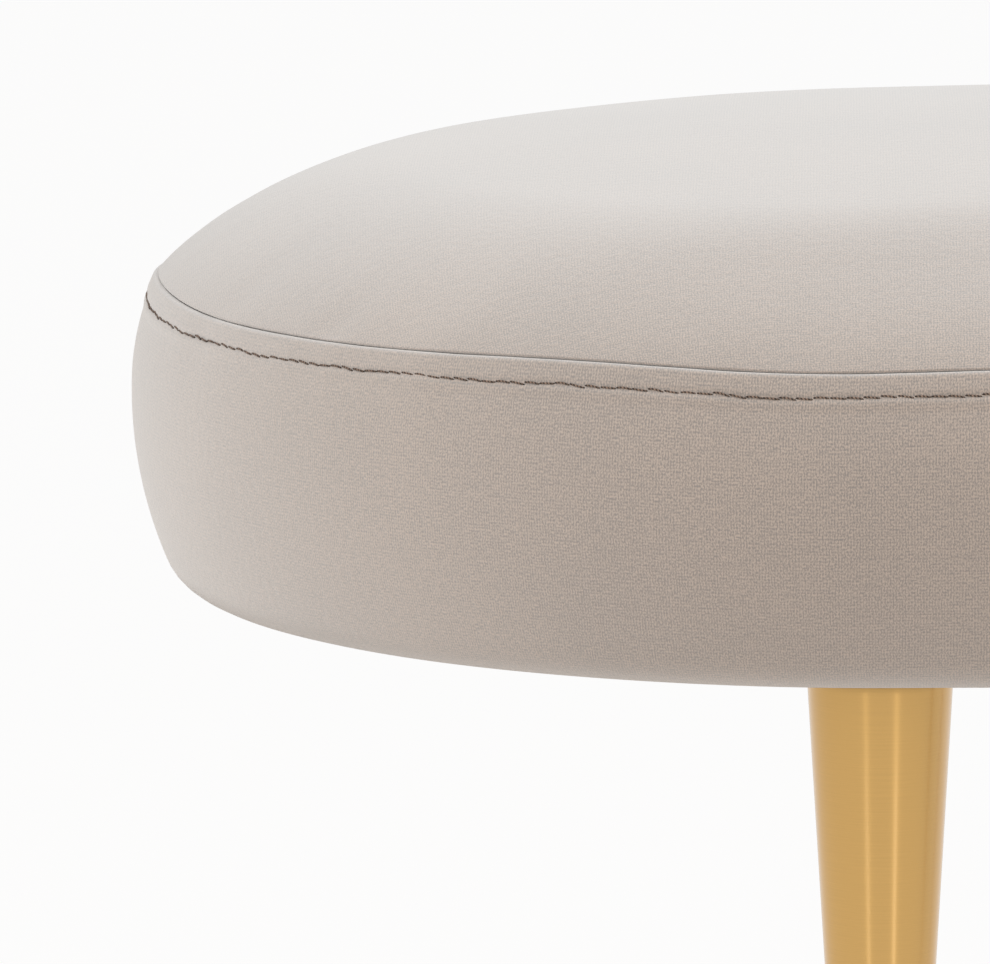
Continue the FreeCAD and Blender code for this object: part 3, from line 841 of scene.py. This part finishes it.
@dataclass
class Cover:
    """Velvet top panel and side band with the folded seam between them and its topstitch.

    The rows beside the seam are given in millimetres from it, those over the strip as first, end and step.
    """

    oval: Oval
    section: SeatSection
    sewing: HandSewing
    cushion: Cushion
    thickness: float = 1.4 * MM
    fill: float = 0.95
    crease_depth: float = 1.4 * MM
    crease_unevenness: float = 0.3
    crease_width: float = 0.7 * MM
    lip_width: float = 1.5 * MM
    lip_height: float = 0.9 * MM
    strip_width: float = 13 * MM
    stitch_drop: float = 7.8 * MM
    groove_depth: float = 0.75 * MM
    groove_width: float = 1.1 * MM
    seam_hold: float = 45 * MM
    pull: float = 3.2 * MM
    pull_hold: float = 34 * MM
    panel_hold: float = 14 * MM
    pucker_height: float = 0.28 * MM
    pucker_hold: float = 11 * MM
    pucker_offset: float = 13 * MM
    tuck_depth: float = 0.9 * MM
    tuck_hold: float = 5 * MM
    panel_lip_rows: tuple[float, ...] = (0.0, 0.15, 0.35, 0.6, 0.9, 1.3)
    panel_step: float = 0.6 * MM
    panel_rows: int = 70
    panel_evenness: float = 0.2
    panel_power: float = 2.2
    band_lip_rows: tuple[float, ...] = (0.0, 0.15, 0.4, 0.8, 1.3)
    band_strip_rows: tuple[float, float, float] = (1.9, 13.5, 0.55)
    band_step: float = 1.5 * MM
    band_rows: int = 46
    stitch_pitch: float = 5.3 * MM
    stitch_length: float = 6.0 * MM
    stitch_stations: int = 9
    stitch_sides: int = 6
    stitch_slant: float = 0.085
    slant_change: float = 0.7
    slant_cycles: float = 911.0
    stitch_hump: float = 0.3 * MM
    hump_change: float = 0.6
    hump_cycles: float = 577.0
    stitch_rise: float = 0.95
    stitch_bite: float = 0.4
    arch_power: float = 0.6
    end_power: int = 8
    thread_radius: float = 0.34 * MM
    thread_weld_gap: float = 0.002 * MM

    def line(self, along: np.ndarray) -> np.ndarray:
        """Run of the stitch line below the seam, at places along the oval."""
        return self.stitch_drop - self.sewing.stitch(along)

    def crease(self, along: np.ndarray) -> np.ndarray:
        """Depth of the seam's crease at places along the oval."""
        return self.crease_depth * (1.0 + self.crease_unevenness * self.sewing.pucker(along))

    def relief(self, run: np.ndarray, along: np.ndarray) -> np.ndarray:
        """Height of the band above its plain bulge.

        The lip rises out of the crease as a quarter round, the folded strip stays raised down to the
        stitches and then fades, and the stitches pull a narrow groove into it.

        Args:
            run: Distances down from the seam.
            along: Distances along the oval, in a shape that spreads with the runs.

        Returns:
            Heights.
        """
        lip = np.clip(run / self.lip_width, 0.0, 1.0)
        round_lip = np.sqrt(1.0 - (1.0 - lip) ** 2)
        fade = ease((run - self.stitch_drop) / (self.strip_width - self.stitch_drop))
        groove = self.groove_depth * np.exp(-((run - self.line(along)) / self.groove_width) ** 2)
        crease = self.crease(along)
        return (crease + self.lip_height * (1.0 - fade)) * round_lip - crease - groove

    def band_points(self, run: np.ndarray) -> np.ndarray:
        """Points of the band.

        The plain side is moved along its normal by the relief and the puckers, drawn in towards the seam by
        the pull of the top panel, and shifted up by the seam's wave.

        Args:
            run: Runs below the seam, one for each row.

        Returns:
            Points, rows by stations by three.
        """
        reach, level, normal = self.section.side(run)
        reach = reach - self.pull * taper(run, self.pull_hold)
        pucker = np.exp(-((run - self.stitch_drop) / self.pucker_hold) ** 2)[:, None]
        ripple = self.pucker_height * pucker * self.sewing.pucker(self.oval.run + self.pucker_offset)
        height = self.relief(run[:, None], self.oval.run) + ripple
        shift = np.exp(-run / self.seam_hold)[:, None] * self.sewing.seam(self.oval.run)
        return self.oval.points(reach[:, None] + height * normal[:, :1],
                                level[:, None] + height * normal[:, 1:] + shift)

    def panel_points(self, gap: np.ndarray) -> np.ndarray:
        """Points of the top panel.

        The crown dips into the crease near the seam, with puckers and tucks beside it and the seam's wave.

        Args:
            gap: Gaps in from the seam, one for each row.

        Returns:
            Points, rows by stations by three.
        """
        reach = np.maximum(self.section.seam_reach - gap, 0.0)
        level = self.section.crown(reach)
        reach = reach - self.pull * np.exp(-gap / self.panel_hold) * reach / self.section.seam_reach
        _, _, normal = self.section.side(np.zeros(1))
        dip = taper(gap, self.crease_width)[:, None] * self.crease(self.oval.run)
        pucker, tuck = hump(gap, self.pucker_hold)[:, None], hump(gap, self.tuck_hold)[:, None]
        rise = self.pucker_height * pucker * self.sewing.pucker(self.oval.run)
        rise = rise - self.tuck_depth * tuck * self.sewing.tuck(self.oval.run)
        shift = np.exp(-gap / self.seam_hold)[:, None] * self.sewing.seam(self.oval.run)
        level = level[:, None] - dip * normal[0, 1] + rise + shift
        return self.oval.points(reach[:, None] - dip * normal[0, 0], level)

    def panel(self, finish: Material) -> Piece:
        """Build the top panel: rows close together at the seam and wider towards the centre line.

        Its texture lies as on the flat cloth: each point as far out as the length of the section up to it.

        Args:
            finish: Finish of the cloth.

        Returns:
            The panel.
        """
        near = np.array(self.panel_lip_rows) * MM
        start = near[-1] + self.panel_step
        share = np.linspace(0.0, 1.0, self.panel_rows)
        spread = self.panel_evenness * share + (1.0 - self.panel_evenness) * share ** self.panel_power
        gap = np.concatenate([near, start + (self.section.seam_reach - start) * spread])
        grid = self.panel_points(gap)
        grid[..., 2] += self.cushion.rise(gap, self.oval)
        grid[-1, :, 2] = self.oval.shared(grid[-1, :, 2])
        faces = strip_faces(len(gap), len(self.oval.run), False, True)
        steps = np.hypot(np.diff(gap), np.diff(grid[:, 0, 2]))
        flat = np.concatenate([np.cumsum(steps[::-1])[::-1], [0.0]])
        uv = self.oval.points(flat[:, None], np.zeros((len(gap), 1)))[..., :2].reshape(-1, 2)[faces]
        piece = new_piece("velvet_top_panel", grid.reshape(-1, 3), faces, uv, finish)
        weld(piece)
        thicken(piece, self.thickness)
        return piece

    def band(self, finish: Material) -> Piece:
        """Build the side band: rows close together over the lip and the groove and wider below them.

        Its texture runs along the oval and down from the seam. The last faces end at the oval's length
        instead of going back to 0.

        Args:
            finish: Finish of the cloth.

        Returns:
            The band.
        """
        near = np.concatenate([self.band_lip_rows, np.arange(*self.band_strip_rows)]) * MM
        far = np.linspace(near[-1] + self.band_step, self.section.side_length(), self.band_rows)
        run = np.concatenate([near, far])
        grid = self.band_points(run)
        columns = len(self.oval.run)
        faces = strip_faces(len(run), columns, False, True)[:, ::-1]
        along = np.broadcast_to(self.oval.run, (len(run), columns))
        down = np.broadcast_to(-run[:, None], along.shape)
        uv = np.stack([along, down], axis=-1).reshape(-1, 2)[faces]
        wraps = np.ptp(uv[..., 0], axis=1, keepdims=True) > self.oval.length / 2
        uv[..., 0] = np.where(wraps & (uv[..., 0] == 0.0), self.oval.length, uv[..., 0])
        piece = new_piece("velvet_side_band", grid.reshape(-1, 3), faces, uv, finish)
        thicken(piece, self.thickness)
        return piece

    def stitches(self, finish: Material) -> Piece:
        """Build the topstitch as slanted stitches of thick thread.

        Each stitch is a tube along a low arch: at a share of its length it rises by a sine over the groove,
        its radius is full but for rounded ends, and its line leans across the seam by the slant. The texture
        runs once along each stitch and once round it.

        Args:
            finish: Finish of the thread.

        Returns:
            All stitches as one piece.
        """
        count = int(self.oval.length / self.stitch_pitch)
        middle = (np.arange(count) + 0.5) * self.oval.length / count
        share = np.linspace(0.0, 1.0, self.stitch_stations)
        turn = np.linspace(0.0, 2 * math.pi, self.stitch_sides, endpoint=False)
        lean = self.stitch_slant * (1.0 + self.slant_change * np.sin(middle * self.slant_cycles))
        bow = self.stitch_hump * self.hump_change * (1.0 + np.cos(middle * self.hump_cycles))
        along = (share - 0.5) * self.stitch_length
        run = middle[:, None] + along
        drop = self.line(run) + along * lean[:, None] - bow[:, None] * np.sin(math.pi * share)
        arch = np.sin(math.pi * share) ** self.arch_power
        reach, level, normal = self.section.side(drop)
        reach = reach - self.pull * taper(drop, self.pull_hold)
        shift = np.exp(-self.stitch_drop / self.seam_hold) * self.sewing.seam(run)
        base = self.relief(drop, run) + self.thread_radius * (self.stitch_rise * arch - self.stitch_bite)
        anchor, outward = self.oval.at(run)
        radius = self.thread_radius * np.sqrt(1.0 - (2.0 * share - 1.0) ** self.end_power)
        lift = base[..., None] + radius[:, None] * np.cos(turn)
        sideways = radius[:, None] * np.sin(turn)
        out = reach[..., None] + lift * normal[..., :1] - sideways * normal[..., 1:]
        up = level[..., None] + lift * normal[..., 1:] + sideways * normal[..., :1] + shift[..., None]
        x, y = anchor[..., None] + out * outward[..., :1], out * outward[..., 1:]
        points = np.stack([x, y, up], axis=-1)
        ring = strip_faces(len(share), len(turn), False, True)
        block = len(share) * len(turn)
        faces = (np.arange(count)[:, None, None] * block + ring).reshape(-1, 4)
        here, ahead = share[:-1, None], share[1:, None]
        length_wise = np.stack([here, here, ahead, ahead], axis=-1)
        round_it = (np.arange(len(turn))[:, None] + np.array([0, 1, 1, 0])) / len(turn)
        patch = np.stack(np.broadcast_arrays(length_wise, round_it), axis=-1)
        uv = np.broadcast_to(patch, (count, *patch.shape))
        piece = new_piece("topstitch_thread", points.reshape(-1, 3), faces, uv, finish)
        weld(piece, self.thread_weld_gap)
        return piece

    def build(self, velvet: Material, thread: Material) -> list[Piece]:
        """Build the panel, band and stitches, hide the CAD nodes that they stand for and attach them to the
        body.

        Args:
            velvet: Finish of the cloth.
            thread: Finish of the stitches.

        Returns:
            The pieces.
        """
        panel, band, stitches = self.panel(velvet), self.band(velvet), self.stitches(thread)
        for piece, node in ((panel, "cover_top_panel"), (band, "cover_side_band")):
            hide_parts(node)
        for piece in (panel, band, stitches):
            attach(piece, BODY)
        return [panel, band, stitches]


@dataclass
class Padding:
    """Foam slab, wadding wrap and side foam inside the cover."""

    oval: Oval
    section: SeatSection
    fill: float = 1.0
    cover: float = 1.8 * MM
    wadding: float = 6 * MM
    gap: float = 0.3 * MM
    frame_gap: float = 0.3 * MM
    pull: float = 5.5 * MM
    pull_hold: float = 34 * MM
    panel_hold: float = 20 * MM
    edge_insets: float = 1.35
    crown_count: int = 24
    crown_power: float = 0.7
    side_insets: float = 1.2
    side_start: float = 2 * MM
    side_end: float = 40 * MM
    side_count: int = 8
    strip_count: int = 60

    def layer(self, inset: float, deck: float) -> Section:
        """Section of a layer from the centre line over the crown and down its side to the deck.

        The layer follows the cover at its inset and is drawn in beside the seam, where the cover is pulled
        tight.

        Args:
            inset: Depth of the layer below the outer skin.
            deck: Level of the board under it.

        Returns:
            Reaches and levels.
        """
        edge = self.section.seam_reach - self.edge_insets * inset
        over = edge * np.linspace(0.0, 1.0, self.crown_count) ** self.crown_power
        run = np.linspace(self.side_insets * inset + self.side_start, self.side_end, self.side_count)
        reach, level, _ = self.section.side(run, inset)
        keep = level > deck
        drawn = reach[keep] - self.pull * taper(run[keep], self.pull_hold)
        top = over - self.pull * np.exp((over - edge) / self.panel_hold) * over / edge
        return (np.concatenate([top, drawn, drawn[-1:]]),
                np.concatenate([self.section.crown(over, inset), level[keep], [deck]]))

    def strip(self) -> Section:
        """Closed section of the side foam between the frame's boards and the band.

        Returns:
            Reaches and levels.
        """
        low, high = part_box("side_foam")
        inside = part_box("base_board")[1][1] + self.frame_gap
        run = np.linspace(0.0, self.section.side_length() - self.section.hem_width, self.strip_count)
        reach, level, _ = self.section.side(run, self.cover)
        keep = (level < high[2]) & (reach > inside)
        return (np.concatenate([reach[keep], [inside, inside]]),
                np.concatenate([level[keep], [low[2], high[2]]]))

    def sweep(self, name: str, section: Section, closed: bool, finish: Material) -> Piece:
        """Carry a section round the oval as a closed soft piece.

        Args:
            name: Name of the piece.
            section: Reaches and levels of the section's points.
            closed: Whether the section closes on itself, as a ring's does.
            finish: Finish of the piece.

        Returns:
            The piece.
        """
        reach, level = section
        grid = self.oval.points(reach[:, None], level[:, None])
        faces = strip_faces(len(reach), len(self.oval.run), closed, True)[:, ::-1]
        piece = new_piece(name, grid.reshape(-1, 3), faces, None, finish)
        weld(piece)
        return piece

    def build(self, foam: Material, fibre: Material) -> list[Piece]:
        """Build the three soft layers, hide the CAD nodes that they stand for and attach them to the body.

        Args:
            foam: Finish of the slab and the side foam.
            fibre: Finish of the wadding.

        Returns:
            The pieces.
        """
        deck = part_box("seat_foam")[0][2]
        insets = np.cumsum([self.cover, self.wadding, self.gap])
        outer, inner, core = (self.layer(inset, deck) for inset in insets)
        wrap = tuple(np.concatenate([out, back[::-1]]) for out, back in zip(outer, inner))
        slab = (np.append(core[0], 0.0), np.append(core[1], deck))
        made = [self.sweep("seat_foam_slab", slab, False, foam),
                self.sweep("wadding_wrap", wrap, False, fibre),
                self.sweep("side_foam_strip", self.strip(), True, foam)]
        nodes, slots = ("seat_foam", "wadding", "side_foam"), ("foam", "fibre_wadding", "foam")
        for piece, node, slot in zip(made, nodes, slots):
            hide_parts(node)
            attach(piece, BODY)
        return made


@dataclass
class Underside:
    """Black sheet stretched under the seat."""

    oval: Oval
    thickness: float = 0.5 * MM
    clearance: float = 0.2 * MM
    rows: int = 30
    sag: float = 1.2 * MM
    wrinkle_share: float = 0.25
    wrinkle_cycles: int = 7
    ripple_height: float = 0.12 * MM
    ripple_cycles: int = 46
    ripple_fade: float = 14.0

    def build(self, finish: Material) -> list[Piece]:
        """It is a flat oval that sags towards its middle as a squared sine with faint wrinkles, and ripples
        between the staples as a sine that fades in from the edge.

        Args:
            finish: Finish of the sheet.

        Returns:
            The sheet, in a list.
        """
        low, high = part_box("dust_cover")
        edge = high[1]
        share = np.linspace(0.0, 1.0, self.rows)
        reach = edge * share[::-1]
        wrinkle = self.wrinkle_share * np.cos(2 * math.pi * self.wrinkle_cycles * share)
        drop = self.sag * np.sin(math.pi * share / 2) ** 2 * (1.0 - self.wrinkle_share + wrinkle)
        turn = 2 * math.pi * self.oval.run / self.oval.length
        ripple = self.ripple_height * np.sin(self.ripple_cycles * turn)
        fade = np.exp(-share * self.ripple_fade)
        level = low[2] + self.clearance - drop[:, None] + ripple * fade[:, None]
        grid = self.oval.points(reach[:, None], level)
        faces = strip_faces(len(share), len(self.oval.run), False, True)[:, ::-1]
        sheet = new_piece("dust_sheet", grid.reshape(-1, 3), faces, None, finish)
        weld(sheet)
        thicken(sheet, self.thickness)
        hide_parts("dust_cover")
        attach(sheet, BODY)
        return [sheet]


@dataclass
class Leg:
    """Tapered tube of one leg and its push-in foot, both turned about an upright axis.

    The foot's profiles are insets from the radius of its pad or spigot, with heights above the floor.
    """

    corner: Corner
    wall: float = 1.4 * MM
    edge: float = 0.5 * MM
    foot_step: float = 0.4 * MM
    foot_play: float = 0.1 * MM
    around: int = 144
    wall_rows: int = 40
    wall_margin: float = 0.02
    weld_gap: float = 0.001 * MM
    pad_profile: Profile = ((0.9 * MM, 0.0), (0.3 * MM, 0.25 * MM), (0.0, 0.9 * MM), (0.0, 3.7 * MM),
                            (0.2 * MM, 4.0 * MM))
    spigot_profile: Profile = ((0.0, 4.0 * MM), (0.0, 17.0 * MM), (0.6 * MM, 18.0 * MM))
    low: np.ndarray = field(init=False)
    high: np.ndarray = field(init=False)
    pad: float = field(init=False)
    floor: float = field(init=False)

    def __post_init__(self) -> None:
        """Read the tube's corners, the pad's radius and the floor's level from the frame."""
        self.low, self.high = (np.array(corner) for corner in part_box(f"leg_tube_{self.corner.value}"))
        foot_low, foot_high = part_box(f"foot_cap_{self.corner.value}")
        self.pad, self.floor = (foot_high[0] - foot_low[0]) / 2, foot_low[2]

    def turned(self, name: str, radius: np.ndarray, level: np.ndarray, finish: Material) -> Piece:
        """Turn a closed profile about the leg's axis.

        Each point is the axis plus the radius along the cosine and sine of the turn, at the profile's level.

        Args:
            name: Name of the piece.
            radius: Radii of the profile's points.
            level: Levels of the profile's points.
            finish: Finish of the piece.

        Returns:
            The piece.
        """
        axis = (self.low + self.high)[:2] / 2
        turn = np.linspace(0.0, 2 * math.pi, self.around, endpoint=False)
        x = axis[0] + radius[:, None] * np.cos(turn)
        y = axis[1] + radius[:, None] * np.sin(turn)
        z = np.broadcast_to(level[:, None], x.shape)
        faces = strip_faces(len(radius), self.around, True, True)
        here = np.arange(self.around) / self.around
        ahead = here + 1 / self.around
        span = 2 * math.pi * radius.max()
        across = np.tile(np.stack([here, ahead, ahead, here], axis=-1) * span, (len(radius), 1))
        uv = np.stack([across, z.reshape(-1)[faces]], axis=-1)
        piece = new_piece(name, np.stack([x, y, z], axis=-1).reshape(-1, 3), faces, uv, finish)
        weld(piece, self.weld_gap)
        return piece

    def tube(self, finish: Material) -> Piece:
        """Build the tube: a straight taper with a thin wall and small edges at both ends.

        Args:
            finish: Finish of the metal.

        Returns:
            The tube.
        """
        size = self.high - self.low
        top, tip = size[0] / 2, self.pad + self.foot_step
        share = np.linspace(self.wall_margin, 1.0 - self.wall_margin, self.wall_rows)
        wall_out, wall_level = tip + (top - tip) * share, self.low[2] + size[2] * share
        foot_end = np.array([tip - self.wall, tip - self.edge, tip])
        top_end = np.array([top, top - self.edge, top - self.wall])
        radius = np.concatenate([foot_end, wall_out, top_end, wall_out[::-1] - self.wall])
        foot_levels = [self.low[2], self.low[2], self.low[2] + self.edge]
        top_levels = [self.high[2] - self.edge, self.high[2], self.high[2]]
        level = np.concatenate([foot_levels, wall_level, top_levels, wall_level[::-1]])
        return self.turned(f"gold_tube_{self.corner.value}", radius, level, finish)

    def foot(self, finish: Material) -> Piece:
        """Build the foot: a rounded pad on the floor with a spigot that goes up into the tube.

        Args:
            finish: Finish of the foot.

        Returns:
            The foot.
        """
        pad, pin = np.array(self.pad_profile), np.array(self.spigot_profile)
        spigot = self.pad + self.foot_step - self.wall - self.foot_play
        radius = np.concatenate([[0.0], self.pad - pad[:, 0], spigot - pin[:, 0], [0.0]])
        height = np.concatenate([[0.0], pad[:, 1], pin[:, 1], pin[-1:, 1]])
        return self.turned(f"nylon_foot_{self.corner.value}", radius, self.floor + height, finish)

    def build(self, gold: Material, nylon: Material) -> list[Piece]:
        """Build the tube and the foot where the CAD ones are, hide those and attach the new ones to the body.

        Args:
            gold: Finish of the tube.
            nylon: Finish of the foot.

        Returns:
            The pieces.
        """
        tube, foot = self.tube(gold), self.foot(nylon)
        for piece, node, slot in ((tube, "leg_tube", "brushed_gold"), (foot, "foot_cap", "nylon")):
            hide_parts(f"{node}_{self.corner.value}")
            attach(piece, BODY)
        return [tube, foot]


@dataclass
class InnerFrame:
    """Wooden frame and fixings, which keep their CAD shapes and get their finishes."""

    subparts: list[dict[str, object]]

    def dress(self, finishes: dict[str, Material]) -> None:
        """Give every CAD node the finish of its material slot.

        Args:
            finishes: Materials by slot.
        """
        for entry in self.subparts:
            mesh = frame["nodes"][entry["node"]].data
            mesh.materials.clear()
            mesh.materials.append(finishes[entry["material_slot"]])


@dataclass(frozen=True)
class Lamp:
    """Soft rectangular lamp, which either lights matt surfaces or only shows in shiny ones."""

    name: str
    place: Place
    aim: Place
    size: tuple[float, float]
    power: float
    reflected: bool = False

    def hang(self) -> None:
        """Hang the lamp in the scene, turned to its aim and hidden from the camera."""
        light = bpy.data.lights.new(self.name, "AREA")
        light.shape = "RECTANGLE"
        light.size, light.size_y = self.size
        light.energy = self.power
        lamp = bpy.data.objects.new(self.name, light)
        lamp.location = self.place
        lamp.rotation_euler = (Vector(self.aim) - Vector(self.place)).to_track_quat("-Z", "Y").to_euler()
        lamp.visible_camera = False
        lamp.visible_glossy = self.reflected
        lamp.visible_diffuse = not self.reflected
        bpy.context.scene.collection.objects.link(lamp)


@dataclass
class Studio:
    """Pale floor, soft light and the camera of the photograph.

    Each strip lamp has a name, the angle at which it stands round the front left leg, and a power.
    """

    floor_size: float = 60.0
    floor_colour: tuple[float, float, float, float] = (0.68, 0.62, 0.57, 1.0)
    floor_whiteness: float = 0.94
    white: tuple[float, float, float, float] = (1.0, 1.0, 1.0, 1.0)
    surround: float = 0.64
    lit_middle: Place = (-0.2, 0.0, 0.35)
    leg_axis: tuple[float, float] = (-0.35, -0.178)
    strip_distance: float = 0.5
    strip_level: float = 0.06
    strip_size: tuple[float, float] = (0.045, 0.11)
    strips: tuple[tuple[str, float, float], ...] = (("strip_left", -0.41, 0.028),
                                                    ("strip_right", 0.465, 0.04))
    target: Place = (-0.4786, 0.0, 0.3222)
    distance: float = 3.889
    azimuth: float = -0.03
    elevation: float = 0.153
    roll: float = -0.006
    focal_pixels: float = 11578.0
    image_width: float = 990.0
    sensor: float = 36.0
    far_limit: float = 200.0

    def background_share(self, shader: Shader) -> Socket:
        """Share of the plain white background in what a ray sees.

        Args:
            shader: Nodes to add to.

        Returns:
            1 for camera, glossy and transmitted rays, 0 for others.
        """
        path = shader.add("LightPath").outputs
        seen = shader.math("MAXIMUM", path["Is Camera Ray"], path["Is Glossy Ray"])
        return shader.math("MAXIMUM", seen, path["Is Transmission Ray"])

    def floor(self) -> None:
        """Lay a wide plain floor that shows as white and still takes a soft shadow."""
        half = self.floor_size / 2
        points = np.array([[-half, -half, 0], [half, -half, 0], [half, half, 0], [-half, half, 0]])
        shader = Shader(bpy.data.materials.new("floor"))
        matt = shader.add("BsdfDiffuse", Color=self.floor_colour)
        white = shader.add("Emission", Color=self.white, Strength=1.0)
        share = shader.math("MULTIPLY", self.background_share(shader), self.floor_whiteness)
        mix = shader.add("MixShader", Fac=share)
        shader.feed(mix.inputs[1], matt.outputs[0])
        shader.feed(mix.inputs[2], white.outputs[0])
        shader.add("OutputMaterial", Surface=mix.outputs[0])
        new_piece("floor", points, np.array([[0, 1, 2, 3]]), None, shader.owner)

    def world(self) -> None:
        """Surround the scene with even light, white where it is seen."""
        world = bpy.data.worlds.new("studio")
        bpy.context.scene.world = world
        shader = Shader(world)
        level = shader.add("MapRange", Value=self.background_share(shader), To_Min=self.surround, To_Max=1.0)
        background = shader.add("Background", Color=self.white, Strength=level.outputs[0])
        shader.add("OutputWorld", Surface=background.outputs[0])

    def lamps(self) -> list[Lamp]:
        """Lamps in front, above the left and above the right, and two narrow strips before the front leg.

        Returns:
            The lamps, not yet hung.
        """
        lamps = [Lamp("front", (-0.3, -3.5, 0.8), self.lit_middle, size=(1.5, 1.0), power=28.5),
                 Lamp("left", (-2.2, -0.8, 2.2), self.lit_middle, size=(1.2, 1.2), power=25.0),
                 Lamp("right", (1.8, -0.2, 2.5), self.lit_middle, size=(2.0, 2.0), power=20.5)]
        x, y = self.leg_axis
        for name, angle, power in self.strips:
            across, before = self.strip_distance * math.sin(angle), self.strip_distance * math.cos(angle)
            lamps.append(Lamp(name, (x + across, y - before, self.strip_level), (x, y, self.strip_level),
                              self.strip_size, power, reflected=True))
        return lamps

    def camera(self) -> None:
        """Set the camera at the photograph's viewpoint, looking the way that azimuth and elevation give."""
        sine, cosine = math.sin(self.elevation), math.cos(self.elevation)
        forward = Vector((math.sin(self.azimuth) * cosine, math.cos(self.azimuth) * cosine, -sine))
        right = Vector((math.cos(self.azimuth), -math.sin(self.azimuth), 0.0))
        up = right.cross(forward)
        rolled_right = math.cos(self.roll) * right + math.sin(self.roll) * up
        rolled_up = math.cos(self.roll) * up - math.sin(self.roll) * right
        place = Vector(self.target) - forward * self.distance
        turn = Matrix((rolled_right, rolled_up, -forward)).transposed().to_4x4()
        data = bpy.data.cameras.new("photo_camera")
        data.sensor_width = self.sensor
        data.lens = self.focal_pixels / self.image_width * self.sensor
        data.clip_end = self.far_limit
        camera = bpy.data.objects.new("photo_camera", data)
        camera.matrix_world = Matrix.Translation(place) @ turn
        bpy.context.scene.collection.objects.link(camera)
        bpy.context.scene.camera = camera

    def build(self) -> None:
        """Set up floor, light, camera and the plain view transform."""
        self.floor()
        self.world()
        for lamp in self.lamps():
            lamp.hang()
        self.camera()
        bpy.context.scene.view_settings.view_transform = "Standard"


def make_finishes() -> dict[str, Material]:
    """Make every finish of the bench.

    Returns:
        Materials by slot, and the thread's.
    """
    recipes = {
        "velvet": Velvet(),
        "brushed_gold": BrushedGold(),
        "thread": Thread(),
        "foam": Fibre("foam", (0.78, 0.70, 0.48), cell_size=1.2 * MM, depth=0.5 * MM),
        "fibre_wadding": Fibre("fibre_wadding", (0.82, 0.82, 0.80), cell_size=2.5 * MM, depth=0.8 * MM,
                               contrast=0.08),
        "nonwoven_sheet": Fibre("nonwoven_sheet", (0.014, 0.014, 0.015), cell_size=0.9 * MM,
                                depth=0.2 * MM, contrast=0.4),
        "plywood": Timber("plywood", (0.52, 0.35, 0.20), streaks=(6.0, 70.0, 40.0)),
        "pine": Timber("pine", (0.62, 0.43, 0.22), streaks=(5.0, 90.0, 90.0)),
        "beech": Timber("beech", (0.55, 0.36, 0.22), streaks=(30.0, 30.0, 200.0)),
        "nylon": Hard("nylon", (0.015, 0.015, 0.016), metallic=0.0, roughness=0.42),
        "zinc_steel": Hard("zinc_steel", (0.55, 0.56, 0.58), metallic=1.0, roughness=0.28),
    }
    return {slot: recipe.make() for slot, recipe in recipes.items()}


def main() -> None:
    """Build the bench's looks and the studio, in order, and report each piece."""
    logging.basicConfig(level=logging.INFO, format="%(name)s: %(message)s")
    finishes = make_finishes()
    band_low, band_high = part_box("cover_side_band")
    panel_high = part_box("cover_top_panel")[1]
    section = SeatSection(half_depth=band_high[1], seam_level=band_high[2], crown_level=panel_high[2],
                          bottom_level=band_low[2])
    oval = Oval(straight=HALF_LENGTH - band_high[1], pitch=STATION_PITCH, reference=section.seam_reach)
    cushion = Cushion(section, oval.straight)
    cushion.settle(finishes["velvet"])
    cover = Cover(oval, section, HandSewing(oval.length), cushion)
    made = cover.build(finishes["velvet"], finishes["thread"])
    made += Padding(oval, section).build(finishes["foam"], finishes["fibre_wadding"])
    made += Underside(oval).build(finishes["nonwoven_sheet"])
    for corner in Corner:
        made += Leg(corner).build(finishes["brushed_gold"], finishes["nylon"])
    InnerFrame(frame["record"]["subparts"]).dress(finishes)
    Studio().build()
    for piece in made:
        LOG.info("%s: %d points, %d faces", piece.name, len(piece.data.vertices), len(piece.data.polygons))


if __name__ == "__main__":
    main()
